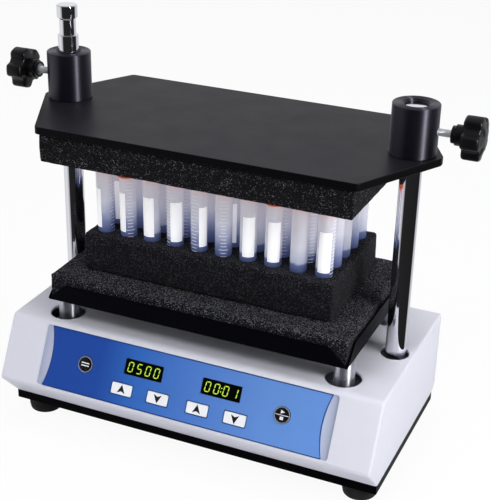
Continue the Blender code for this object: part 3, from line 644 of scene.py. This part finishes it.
def make_feet():
    for corner in CORNERS:
        _, high, middle = span(f"foot_{corner}")
        top, bottom = 0.0186, 0.0174
        place = at(*middle.xy)
        foot = lathe([(0, 0.0035, 0), (0.0052, 0.0035, 0.0005), (0.0052, 0.0, 0.0008), (bottom, 0, 0.002),
                      (top, 0.006, 0.003), (top, high.z, 0.0006), (0, high.z, 0)], 56)
        piece(f"foot_{corner}_moulded", foot, "rubber", "base", f"foot_{corner}", place, smooth_below=40)
        head = [(0, 0.0018, 0), (0.0042, 0.0018, 0.0008), (0.0042, 0.0036, 0), (0, 0.0036, 0)]
        screw = piece(f"foot_screw_{corner}", lathe(head, 32), "zinc", "base", None, place)
        cut(screw, [prism(cross_outline(0.0026, 0.0005), 0.0, 0.0028)])


# ---- control panel


def overlay_outline(inset=0.0):
    """The printed overlay: straight along its length, with its two ends curved inwards."""
    low, high = PANEL_LOW + inset, PANEL_HIGH - inset
    middle_y, half = (low + high) / 2, (high - low) / 2
    sag = PANEL_ARC_CORNER - PANEL_ARC_MIDDLE
    radius = (half**2 + sag**2) / (2 * sag)
    spread = math.degrees(math.asin(half / radius))
    right = arc((PANEL_ARC_MIDDLE + radius - inset, middle_y), radius, 180 + spread, 180 - spread, 24)
    return right + [(-x, y) for x, y in reversed(right)]


def band(outer, inner, low, high):
    """A flat ring between two outlines that have as many points."""
    lines = ((outer, low), (outer, high), (inner, high), (inner, low))
    rings = [[(x, y, z) for x, y in line] for line, z in lines]
    shape = bmesh.new()
    made = [[shape.verts.new(point) for point in ring] for ring in rings]
    for lower, upper in zip(made, made[1:] + made[:1]):
        join_rings(shape, lower, upper)
    return shape


# Lays thin print on the panel, and the thin sheets of painted shade too.
def panel_print_and_shade(name, shape, look, body="base"):
    return piece(name, shape, look, body, None, PANEL_PLACE)


def make_panel():
    dress("panel_overlay", "panel_blue")
    face = OVERLAY_FACE
    # painted shade: a thin navy band along the overlay's edge
    panel_print_and_shade("overlay_border", band(overlay_outline(0.0001), overlay_outline(0.0009), face, face + SKIN),
                "painted_shade_navy")
    make_recess_ends()
    for name, middle in DISPLAYS.items():
        make_display(name, middle)
    for name, middle in KEYS.items():
        make_arrow_key(name, middle)
    for name, middle in ROUND_KEYS.items():
        make_round_key(name, middle)


def make_recess_ends():
    """Thin sheets of painted shade on the crescents of bare recess between the overlay's curved ends and the
    recess's straight ones.
    """
    low, high = -RECESS_DEPTH + 0.00002, -RECESS_DEPTH + SKIN
    inside = 0.0002
    edge = overlay_outline(-inside)
    count = len(edge) // 2
    for side, line in (("right", edge[:count]), ("left", edge[count:])):
        sign = 1 if side == "right" else -1
        ends = [(sign * (PANEL_HALF_WIDTH - inside), y) for y in (line[-1][1], line[0][1])]
        panel_print_and_shade(f"recess_end_{side}", prism(line + ends, low, high), "recess_shade")


SEGMENTS = {"0": "abcdef", "1": "bc", "5": "acdfg"}
DIGIT_WIDTH, DIGIT_HEIGHT, STROKE, SLANT = 0.0050, 0.0100, 0.00105, 0.12


def segment(start, end):
    """One bar of a digit: a thin six-sided outline between two points."""
    start, end = Vector(start), Vector(end)
    along = (end - start).normalized()
    side = Vector((-along.y, along.x)) * STROKE / 2
    gap = along * 0.0003
    point = along * STROKE / 2
    a, b = start + gap, end - gap
    return [a, a + point - side, b - point - side, b, b - point + side, a + point + side]


def digit_shapes(digit, x, y, low, high):
    w, h = DIGIT_WIDTH / 2, DIGIT_HEIGHT / 2
    ends = {"a": ((-w, h), (w, h)), "b": ((w, 0), (w, h)), "c": ((w, -h), (w, 0)), "d": ((-w, -h), (w, -h)),
            "e": ((-w, -h), (-w, 0)), "f": ((-w, 0), (-w, h)), "g": ((-w, 0), (w, 0))}
    made = []
    for bar in SEGMENTS[digit]:
        outline = [(x + p.x + SLANT * p.y, y + p.y) for p in segment(*ends[bar])]
        made.append(prism(outline, low, high))
    return made


def make_display(name, middle):
    trim = 0.00002
    window = rounded(rectangle(DISPLAY_SIZE[0] / 2 - trim, DISPLAY_SIZE[1] / 2 - trim, middle), 0.0012)
    face, pitch = OVERLAY_FACE + 0.0001, 0.0102
    glass = piece(f"{name}_window", prism(window, UNDER_KEYS, face), "display_glass", "base", name,
                  PANEL_PLACE)
    round_edges(glass, 0.0003, 2)
    shapes = []
    for place, digit in enumerate({"speed_display": "0500", "time_display": "0001"}[name]):
        x = middle[0] + (place - 1.5) * pitch
        shapes += digit_shapes(digit, x, middle[1], face, face + SKIN)
    if name == "time_display":
        for y in (-0.0019, 0.0019):
            dot = prism(circle(0.00062, 16), face, face + SKIN)
            shapes.append(moved(dot, at(middle[0] + SLANT * y, middle[1] + y)))
    panel_print_and_shade(f"{name}_digits", merged(*shapes), "digit_light", "base")


def make_arrow_key(name, middle):
    half_x, half_y = KEY_SIZE[0] / 2, KEY_SIZE[1] / 2
    cap = prism(rounded(rectangle(half_x, half_y, middle), 0.0012), UNDER_KEYS, KEY_FACE)
    round_edges(piece(f"{name}_cap", cap, "key_white", name, name, PANEL_PLACE), 0.0004)
    way = 1 if "_up_" in name else -1
    arrow = [(middle[0] + way * x, middle[1] + way * y)
             for x, y in ((-0.0046, -0.0042), (0, -0.0020), (0.0046, -0.0042), (0, 0.0048))]
    panel_print_and_shade(f"{name}_arrow", prism(arrow, KEY_FACE, KEY_FACE + SKIN), "print_black", name)
    # painted shade: a thin navy ring in the gap round the key
    grown = [rounded(rectangle(half_x + gap, half_y + gap, middle), 0.0013) for gap in (0.0011, 0.0004)]
    panel_print_and_shade(f"{name}_surround", band(*grown, OVERLAY_FACE, OVERLAY_FACE + SKIN), "painted_shade_navy")


def make_round_key(name, middle):
    radius = ROUND_KEY_RADIUS
    profile = [(0, UNDER_KEYS, 0), (radius, UNDER_KEYS, 0), (radius, KEY_FACE, 0.0005), (0, KEY_FACE, 0)]
    place = PANEL_PLACE @ at(*middle)
    piece(f"{name}_cap", lathe(profile, 56), "key_black", name, name, place)
    ring = [(radius - 0.0008, KEY_FACE - 0.0001), (radius - 0.0001, KEY_FACE - 0.0003), (radius, KEY_FACE),
            (radius - 0.0004, KEY_FACE + 2 * SKIN), (radius - 0.0008, KEY_FACE + SKIN)]
    piece(f"{name}_ring", turned(ring, 56), "silver", name, None, place)
    low, high = KEY_FACE, KEY_FACE + SKIN
    if name == "mode_key":
        marks = [prism(rectangle(0.0046, 0.0006, (0, y)), low, high) for y in (-0.0014, 0.0014)]
    else:
        marks = [prism(rectangle(radius - 0.0014, 0.0003), low, high),
                 prism([(-0.0018, 0.0012), (0.0024, 0.0032), (-0.0018, 0.0052)], low, high),
                 prism(rectangle(0.0019, 0.0016, (0, -0.0032)), low, high)]
    piece(f"{name}_mark", merged(*marks), "print_white", name, None, place)


# ---- posts and columns


def make_rod(node, look, sides, *steps):
    """A turned rod in plain steps, each (radius, low, high, rounding at its top)."""
    profile = [(0, steps[0][1], 0)]
    for radius, low, high, soft in steps:
        profile += [(radius, low, soft), (radius, high, soft)]
    profile.append((0, steps[-1][2], 0))
    piece(f"{node}_rod", lathe(profile, sides), look, "platform", node, at(*span(node)[2].xy))


def make_posts_and_columns():
    for corner in CORNERS:
        low, high, _ = span(f"post_{corner}")
        make_rod(f"post_{corner}", "satin_rod", 64, (POST_RADIUS, low.z, high.z, 0.0007))
    low, high, _ = COLUMN["right"]
    make_rod("column_right", "chrome", 72, (COLUMN_RADIUS, low.z, high.z, 0.0012))
    low, high, _ = COLUMN["left"]
    groove_low, groove_high, groove_radius = 0.4126, 0.4315, 0.0087
    shoulder = groove_high - (COLUMN_RADIUS - groove_radius)
    make_rod("column_left", "chrome", 72, (COLUMN_RADIUS, low.z, groove_low, 0.0003),
             (groove_radius, groove_low, shoulder, 0.0004), (COLUMN_RADIUS, groove_high, high.z, 0.0012))


# ---- tray and foam


def make_tray():
    """A sheet pan with four bent flaps, mitred so that they don't meet at the corners."""
    low, high, middle = span("tray")
    half = {"x": (high.x - low.x) / 2, "y": (high.y - low.y) / 2}
    sheet, mitre, bend = 0.0015, 0.022, 0.0022
    shapes = [prism(rectangle(half["x"] - bend, half["y"] - bend), low.z, low.z + sheet)]
    for quarter in range(4):
        reach, side = (half["x"], half["y"]) if quarter % 2 == 0 else (half["y"], half["x"])
        # Down the inside of the bend and back up the outside, (distance from the middle, height)
        outer = [(reach - bend, low.z)] + arc((reach - bend, low.z + bend), bend, -90, 0, 5)
        outer += [(reach, high.z)]
        inner = [(reach - sheet, high.z)] + arc((reach - bend, low.z + bend), bend - sheet, 0, -90, 5)
        inner += [(reach - bend, low.z + sheet)]
        rings = []
        for sign in (-1, 1):
            ring = []
            for d, z in outer + inner:
                rise = max(z - low.z - bend, 0.0) / (high.z - low.z - bend)
                ring.append((d, sign * (side - bend * 0.5 - (mitre - bend * 0.5) * rise), z))
            rings.append(ring)
        flap = loft(rings)
        bmesh.ops.remove_doubles(flap, verts=flap.verts, dist=0.000001)
        shapes.append(moved(flap, Matrix.Rotation(quarter * math.pi / 2, 4, "Z")))
    tray = piece("tray_sheet", merged(*shapes), "black_paint", "platform", "tray", at(*middle.xy))
    round_edges(tray, 0.0004, 2, 50)


FOAM_CELL = 0.0045  # the mesh's pitch before it is made uneven


def foam_shape(half_x, half_y, low, high, rounding, bulge, rough, seed):
    """A cut block of foam: rounded, a little swollen, and uneven all over."""
    outline = rounded(rectangle(half_x, half_y), rounding, 3)
    shape = prism(outline, low, high)
    rim = [e for e in shape.edges if abs(e.verts[0].co.z - e.verts[1].co.z) < 1e-7]
    bmesh.ops.bevel(shape, geom=rim, offset=rounding * 0.8, segments=3, affect="EDGES", profile=0.5)
    for axis, (start, end) in enumerate(((-half_x, half_x), (-half_y, half_y), (low, high))):
        count = max(int(round((end - start) / FOAM_CELL)), 2)
        for i in range(1, count):
            place, normal = [0, 0, 0], [0, 0, 0]
            place[axis], normal[axis] = start + (end - start) * i / count, 1
            every = shape.verts[:] + shape.edges[:] + shape.faces[:]
            bmesh.ops.bisect_plane(shape, geom=every, plane_co=place, plane_no=normal, dist=1e-7)
    shape.normal_update()
    shift = Vector((seed * 3.1, seed * 1.7, seed * 0.9))
    moves = []
    for vert in shape.verts:
        co = vert.co
        wide = noise.noise(co * 28 + shift)
        fine = noise.noise(co * 330 + shift)
        along = (1 - (co.x / half_x) ** 2) * (1 - (co.y / half_y) ** 2)
        swell = bulge * max(1 - ((co.z - (low + high) / 2) / ((high - low) / 2)) ** 2, 0)
        out = bulge * 0.3 * along if abs(vert.normal.z) > 0.7 else swell
        moves.append(vert.normal * (rough * (0.9 * wide + 0.6 * fine) + out))
    for vert, move in zip(shape.verts, moves):
        vert.co += move
    return shape


def foam_block(name, node, body, trims, *form):
    """Foam in place of its node, kept inside it by the trims: at the sides, the bottom and the top."""
    low, high, middle = span(node)
    half = (high - low) / 2
    sides, bottom, top = trims
    shape = foam_shape(half.x - sides, half.y - sides, low.z + bottom, high.z - top, *form)
    return piece(f"{name}_foam_block", shape, f"foam_{name}", body, node, at(*middle.xy), 60)


def make_foam():
    obj = foam_block("lower", "lower_foam_pad", "platform", (0.0006, 0, 0.0004), 0.0016, 0, 0.0005, 1)
    obj = foam_block("upper", "upper_foam_pad", "clamp", (0, 0.0004, 0.0003), 0.0016, 0.0004, 0.0005, 2)
    obj = foam_block("rack", "tube_rack", "platform", (0.0006, 0, 0.0003), 0.0028, 0.0006, 0.0006, 3)
    low, high, middle = span("tube_rack")
    floor, mouth = low.z + 0.009, high.z + 0.004
    socket = [(0, floor), (0.0091, floor), (0.0091, high.z - 0.0012), (0.0099, mouth), (0, mouth)]
    sockets = [moved(turned(socket, 28), at(x - middle.x, y - middle.y)) for x, y in tube_places()]
    cut(obj, sockets, 60)


# ---- tubes

TUBE_COLUMNS, TUBE_ROWS = 10, 5
FIRST_TUBE, LAST_IN_ROW = span("sample_tube_01"), span("sample_tube_10")
LAST_IN_COLUMN = span("sample_tube_14")
TUBE_LOW, TUBE_HIGH = FIRST_TUBE[0].z, FIRST_TUBE[1].z
TUBE_RADIUS, TIP_RADIUS, WALL_THICKNESS = 0.0089, 0.0035, 0.0009
SHOULDER, CAP_LOW, CAP_RADIUS = 0.0202, 0.1022, 0.0108  # heights above the tip


def tube_places():
    """Every tube's x and y, row by row from the front left."""
    first, last = FIRST_TUBE[2], LAST_IN_COLUMN[2]
    pitch_x = (last.x - first.x) / (TUBE_COLUMNS - 1)
    pitch_y = (last.y - first.y) / (TUBE_ROWS - 1)
    return [(first.x + pitch_x * i, first.y + pitch_y * j)
            for j in range(TUBE_ROWS) for i in range(TUBE_COLUMNS)]


def tube_meshes():
    """The meshes that the tubes share, standing on their tips at the origin."""
    bore, mouth = TUBE_RADIUS - WALL_THICKNESS, CAP_LOW + 0.01
    outer = [(0, 0, 0), (TIP_RADIUS, 0, 0.0015), (TUBE_RADIUS, SHOULDER, 0.004), (TUBE_RADIUS, mouth, 0.0003)]
    inner = [(bore, mouth, 0.0003), (bore, SHOULDER + 0.0002, 0.003), (TIP_RADIUS - 0.0006, 0.0012, 0.001),
             (0, 0.0012, 0)]
    wall = lathe(outer + inner, 36)
    ticks = []
    for i in range(19):
        low, width = SHOULDER + 0.004 + i * 0.0038, 62 if i % 4 == 0 else 38
        ticks.append(curved_patch(TUBE_RADIUS + 0.00001, 0.00008, 0, width, low, low + 0.0007, 4))
    label, narrow_label = (curved_patch(TUBE_RADIUS + 0.00002, 0.00012, 0, width, 0.0375, 0.081, steps)
                           for width, steps in ((84, 10), (60, 8)))
    return {
        "wall_full": wall.copy(),
        "wall_half": wall,
        "ticks": merged(*ticks),
        "label": label,
        "narrow_label": narrow_label,
        "cap": cap_shape(),
        "full": liquid_shape(0.052),
        "half": liquid_shape(0.040),
    }


def liquid_shape(level):
    inside = TUBE_RADIUS - WALL_THICKNESS - 0.0001
    return lathe([(0, 0.0013, 0), (TIP_RADIUS - 0.0007, 0.0013, 0.0008), (inside, SHOULDER + 0.0003, 0.003),
                  (inside, level, 0), (inside - 0.0008, level - 0.0005, 0.0004), (0, level - 0.0006, 0)],
                 28, 3)


def cap_shape():
    """A ribbed screw cap."""
    sides, depth = 72, 0.0005
    rings = []
    height = TUBE_HIGH - TUBE_LOW
    for inset, z in ((0.0007, CAP_LOW), (0.0, CAP_LOW + 0.0006), (0.0, height - 0.0012),
                     (0.0004, height - 0.0004), (0.0014, height)):
        ring = []
        for i in range(sides):
            turn = 2 * math.pi * i / sides
            rib = depth if i % 3 == 0 and inset < 0.0005 else 0
            radius = CAP_RADIUS - inset - rib
            ring.append((radius * math.cos(turn), radius * math.sin(turn), z))
        rings.append(ring)
    return loft(rings)


# The front row from the left: the label and its turn, the scale's turn, and how full it is
FRONT_ROW = [
    ("narrow_label", -30, 95, "full"),
    ("narrow_label", -22, 42, "full"),
    ("label", 0, 130, "half"),
    ("label", 36, -32, "half"),
    ("narrow_label", 54, -12, "full"),
    (None, 0, 24, "full"),
    ("label", 24, 140, "half"),
    ("label", 24, 132, "half"),
    (None, 0, 172, "half"),
    ("label", 14, 78, "half"),
]
CAP_DROPS = {2: 0.0038, 8: 0.0032}  # two caps are screwed on further down
TUBE_LOOKS = {
    "wall_full": "tube_wall_full",
    "wall_half": "tube_wall_half",
    "ticks": "print_white",
    "label": "label_paper",
    "narrow_label": "label_paper",
    "cap": "orange_cap",
    "full": "tube_liquid",
    "half": "tube_liquid",
}


def make_tubes():
    meshes = {kind: mesh_of(shape, f"tube_{kind}") for kind, shape in tube_meshes().items()}
    for kind, mesh in meshes.items():
        mesh.materials.append(LOOKS[TUBE_LOOKS[kind]])
    chance = random.Random(7)
    cad = {number: number for number in range(1, TUBE_COLUMNS + 1)}
    cad.update({TUBE_COLUMNS * (row + 1): TUBE_COLUMNS + row for row in range(1, TUBE_ROWS)})
    for number, (x, y) in enumerate(tube_places(), 1):
        if number <= TUBE_COLUMNS:
            label, label_turn, scale_turn, fill = FRONT_ROW[number - 1]
        else:
            label = chance.choice((None, "label", "narrow_label"))
            label_turn, scale_turn = chance.uniform(-60, 60), chance.uniform(-150, 150)
            fill = chance.choice(("full", "half"))
        stands_for = f"sample_tube_{cad[number]:02}" if number in cad else None
        lean = math.radians(0.2) * ((number - 1) % TUBE_COLUMNS - (TUBE_COLUMNS - 1) / 2)
        upright = at(x, y, TUBE_LOW) @ Matrix.Rotation(lean, 4, "Y")
        wall = meshes[f"wall_{fill}"]
        placed(f"tube_{number:02}_wall", wall, "platform", stands_for, upright)
        parts = [("cap", 0), (fill, 0), ("ticks", scale_turn)] + ([(label, label_turn)] if label else [])
        for kind, turn in parts:
            place = upright @ Matrix.Rotation(math.radians(turn), 4, "Z")
            if kind == "cap":
                place = place @ at(0, 0, -CAP_DROPS.get(number, 0.0))
            short = {"full": "liquid", "half": "liquid", "narrow_label": "label"}.get(kind, kind)
            placed(f"tube_{number:02}_{short}", meshes[kind], "platform", None, place)


# ---- clamp plate, collars and knobs


def make_clamp():
    low, high, middle = span("top_plate")
    corner_x, half_depth, tip_half = 0.1715, (high.y - low.y) / 2, 0.003
    right = [(corner_x, -half_depth), (high.x, -tip_half)]
    right += [(x, -y) for x, y in reversed(right)]
    outline = rounded(right + [(-x, -y) for x, y in right], 0.006, 6)
    plate = piece("top_plate_sheet", prism(outline, low.z, high.z), "plate_black", "clamp", "top_plate",
                  at(0, middle.y))
    way = circle(COLUMN_RADIUS + 0.0015, 48)
    cut(plate, [moved(prism(way, low.z - 0.01, high.z + 0.01), at(sign * COLUMN_X, 0))
                for sign in COLUMNS.values()])
    round_edges(plate, 0.0007, 3, 40)
    for side, sign in COLUMNS.items():
        make_collar(side, sign)
        make_stud(side, sign)
        make_knob(side, sign)


def knob_place(side, sign):
    """On the platform's middle line at stud height, with local Z pointing out past the column."""
    middle = span(f"clamp_stud_{side}")[2]
    turn = Matrix.Rotation(0 if sign > 0 else math.pi, 4, "Z")
    return at(0, PLATFORM_Y, middle.z) @ turn @ ALONG_X


def make_collar(side, sign):
    low, high, middle = span(f"collar_{side}")
    radius, bore, chamfer = (high.x - low.x) / 2, 0.0115, 0.0022
    profile = [(bore, low.z), (radius, low.z), (radius, high.z), (bore + chamfer, high.z),
               (bore, high.z - chamfer)]
    collar = turned(rounded(profile, [0.0003, 0.0006, 0.0009, 0.0003, 0.0003], 4), 96)
    collar = piece(f"collar_{side}_ring", collar, "black_anodised", "clamp", f"collar_{side}", at(*middle.xy))
    place = collar.matrix_world.inverted() @ knob_place(side, sign)
    cut(collar, [moved(prism(circle(0.0043, 32), COLUMN_X, COLUMN_X + 0.04), place)])


def make_stud(side, sign):
    """A screw with a real helical thread, plain at its tip."""
    low, high, _ = span(f"clamp_stud_{side}")
    radius, pitch, depth = (high.z - low.z) / 2, 0.00125, 0.00062
    start, length = min(abs(low.x), abs(high.x)), high.x - low.x
    around, steps = 28, 8
    rings = []
    count = int(length / pitch * steps)
    for i in range(count + 1):
        z = length * i / count
        lead = 0.0005 * max(1 - z / 0.0007, 0)
        ring = []
        for k in range(around):
            turn = 2 * math.pi * k / around
            phase = (z / pitch - k / around) % 1.0
            dip = depth * (1 - abs(2 * phase - 1)) * min(z / 0.0022, (length - z) / 0.001, 1.0)
            reach = radius - dip - lead
            ring.append((reach * math.cos(turn), reach * math.sin(turn), start + z))
        rings.append(ring)
    piece(f"clamp_stud_{side}_screw", loft(rings), "zinc", f"stud_{side}", f"clamp_stud_{side}",
          knob_place(side, sign), smooth_below=50)


def lobed(reach, depth, inset, z, first=0.0, lobes=5, points=120):
    """A ring with broad lobes and narrower scallops between them."""
    ring = []
    for i in range(points):
        turn = 2 * math.pi * i / points
        wave = min((1 - math.cos(lobes * (turn - first))) * 0.66, 1.0)
        radius = reach - depth * (1 - wave * wave * (3 - 2 * wave)) - inset
        ring.append((radius * math.cos(turn), radius * math.sin(turn), z))
    return ring


def make_knob(side, sign):
    low, high, _ = span(f"clamp_knob_{side}")
    reach = (high.z - low.z) / 2
    start, end = sorted((abs(low.x), abs(high.x)))
    head, depth, soft = 0.241, 0.0052, 0.003
    scallop = 0.0 if sign > 0 else math.pi / 5
    crown = end - 0.0028
    outline = [(0.0115, head), (0.006, head + 0.0001)]  # inset and distance out
    outline += arc((soft, head + soft), soft, -90, -180, 5)[1:] + arc((soft, crown - soft), soft, 180, 90, 5)
    rings = [lobed(reach, depth, inset, z, scallop) for inset, z in outline]
    rings += [lobed(reach, depth * share, inset, z, scallop)
              for share, inset, z in ((0.8, 0.0065, crown + 0.0007), (0.5, 0.0105, crown + 0.0018),
                                      (0.25, 0.0155, crown + 0.0026), (0.0, 0.0212, end))]
    body, place = f"knob_{side}", knob_place(side, sign)
    knob = piece(f"clamp_knob_{side}_head", loft(rings), "knob_plastic", body, f"clamp_knob_{side}", place,
                 smooth_below=60)
    cut(knob, [prism(circle(0.0044, 32), head - 0.01, head + 0.0045)], 60)
    hub = [(0.0062, start + 0.0006), (0.0066, start), (0.0086, start), (0.0086, start + 0.0028),
           (0.0103, start + 0.0040), (0.0103, head + 0.0008), (0.0062, head + 0.0008)]
    piece(f"knob_hub_{side}", turned(rounded(hub, 0.0005, 3), 48), "knob_plastic", body, None, place)
    insert = [(0.0044, start + 0.0003), (0.0061, start + 0.0003), (0.0061, head + 0.0007),
              (0.0044, head + 0.0007)]
    piece(f"knob_insert_{side}", turned(rounded(insert, 0.0003, 3), 40), "steel", body, None, place)


# ---- mains inlet


def make_inlet():
    dress("power_inlet", "inlet_plastic", 0.0005)
    dress("power_rocker", "inlet_plastic", 0.0004)
    middle = span("power_inlet")[2]
    socket_z = middle.z - 0.0105
    facing = Matrix(((1, 0, 0), (0, 0, 1), (0, 1, 0))).to_4x4()
    for number, (x, z) in enumerate(((-0.0070, -0.002), (0, 0.002), (0.0070, -0.002)), 1):
        shape = prism(rounded(rectangle(0.001, 0.002), 0.0003, 2), 0.1025, 0.1165)
        place = at(middle.x + x, 0, socket_z + z) @ facing
        round_edges(piece(f"inlet_pin_{number}", shape, "zinc", "base", None, place), 0.0004, 2)


# ---- inside


def dress_inside():
    dress("base_pan", "black_paint", 0.0006)
    for node in ("motor_can", "orbit_plate"):
        dress(node, "bare_aluminium", 0.0004)
    idlers = [f"idler_{corner}" for corner in CORNERS]
    for node in ("motor_rotor", "crank_hub", "crank_bearing", "drive_deck", *idlers):
        dress(node, "steel")
    for node in ("control_board", "power_supply"):
        dress(node, "circuit_board")


# ---- studio

CAMERA_PLACE = Vector((0.47327, -1.04277, 0.73970))
CAMERA_AHEAD = Vector((-0.35877, 0.83230, -0.42257))
CAMERA_RIGHT = Vector((0.91403, 0.40505, 0.02175))
CAMERA_LENS = 85.3


def make_camera():
    data = bpy.data.cameras.new("camera")
    data.lens = CAMERA_LENS
    camera = added("camera", data)
    ahead = CAMERA_AHEAD.normalized()
    right = (CAMERA_RIGHT - ahead * CAMERA_RIGHT.dot(ahead)).normalized()
    up = right.cross(ahead)
    turn = Matrix((right, up, -ahead)).transposed().to_4x4()
    camera.matrix_world = Matrix.Translation(CAMERA_PLACE) @ turn
    bpy.context.scene.camera = camera


def make_floor():
    """Pale paper: almost white to the camera, with a faint shadow."""
    mesh = bpy.data.meshes.new("floor")
    half = 6.0
    mesh.from_pydata([(x, y, 0) for x, y in rectangle(half, half)], [], [(0, 1, 2, 3)])
    look = Look("floor_paper", 0.9)
    shades = [(0.3, shade(232, 232, 234)), (0.7, shade(235, 235, 237))]
    look.set("Base Color", look.noise(3), shades)
    glow = look.node("ShaderNodeEmission", Strength=1.0).outputs[0]
    seen = look.node("ShaderNodeLightPath").outputs["Is Camera Ray"]
    mixed = look.node("ShaderNodeMixShader")
    for socket, value in zip(mixed.inputs, (look.times(seen, 0.94), look.shader.outputs[0], glow)):
        look.feed(socket, value)
    look.feed(look.tree.nodes["Material Output"].inputs["Surface"], mixed.outputs[0])
    mesh.materials.append(look.material)
    floor = added("floor", mesh)
    floor.visible_glossy = False


# How bright the studio looks in a gloss, by azimuth in degrees from the front towards +X:
# below the horizon the dark floor past the table shows, and above it dark cards and a soft light.
BELOW_HORIZON = [(-180, 0.7), (-100, 0.76), (-62, 0.85), (-36, 0.5), (-26, 0.02), (122, 0.015), (134, 0.62),
                 (180, 0.7)]
ABOVE_HORIZON = [(-180, 0.85), (-130, 0.85), (-110, 0.4), (-84, 0.6), (-44, 0.5), (-30, 0.04), (58, 0.03),
                 (100, 0.2), (150, 0.6), (180, 0.85)]
OVERHEAD = 0.3
AMBIENT = 0.12


def studio_grey(bright):
    return (bright * 0.965, bright * 0.97, bright, 1)


def make_world():
    """White where the camera sees it; the gloss sees a darker studio, and everything else an even grey."""
    world = bpy.data.worlds.new("studio")
    bpy.context.scene.world = world
    world.use_nodes = True
    sky = Nodes(world.node_tree)
    place = sky.node("ShaderNodeTexCoord").outputs["Generated"]
    x, y, z = sky.node("ShaderNodeSeparateXYZ", Vector=place).outputs
    share = sky.between(sky.sum(x, sky.times(y, -1.0), "ARCTAN2"), -math.pi, math.pi)
    below, above = (sky.ramp(share, [((angle + 180) / 360, studio_grey(bright)) for angle, bright in stops])
                    for stops in (BELOW_HORIZON, ABOVE_HORIZON))
    gloss = sky.mix(sky.between(z, 0.62, 0.85), sky.mix(sky.between(z, -0.04, 0.04), below, above),
                    studio_grey(OVERHEAD))
    ray = sky.node("ShaderNodeLightPath").outputs
    lit = sky.mix(ray["Is Glossy Ray"], studio_grey(AMBIENT), gloss)
    seen = sky.mix(ray["Is Camera Ray"], lit, studio_grey(1.0))
    sky.feed(sky.tree.nodes["Background"].inputs["Color"], seen)


def make_light(name, place, target, size, power, in_gloss):
    """A rectangular light, which either lights the object softly or only shows in what is glossy."""
    data = bpy.data.lights.new(name, "AREA")
    data.shape = "RECTANGLE"
    data.size, data.size_y = size
    data.energy = power
    light = added(name, data)
    light.location = place
    light.rotation_mode = "QUATERNION"
    light.rotation_quaternion = (Vector(target) - Vector(place)).to_track_quat("-Z", "Y")
    light.visible_glossy = in_gloss
    light.visible_diffuse = not in_gloss
    light.visible_camera = False


def make_studio():
    make_camera()
    make_floor()
    make_world()
    middle = (0, 0, 0.2)
    make_light("key_right", (1.5, -0.3, 0.85), middle, (0.9, 0.9), 17, False)
    make_light("top_soft", (0.1, 0.15, 1.9), middle, (1.2, 1.0), 20, False)
    make_light("front_high", (-0.3, -1.2, 1.8), middle, (0.9, 0.6), 12.5, False)
    make_light("front_low", (-0.8, -1.6, 0.8), middle, (0.5, 0.9), 4, False)
    make_light("strip", (1.25, -0.52, 0.75), middle, (0.1, 0.9), 20, True)
    bpy.context.scene.view_settings.view_transform = "Standard"
    bpy.context.scene.view_settings.look = "None"


# ---- everything

make_looks()
make_housing()
make_feet()
make_panel()
make_posts_and_columns()
make_tray()
make_foam()
make_tubes()
make_clamp()
make_inlet()
dress_inside()
make_studio()
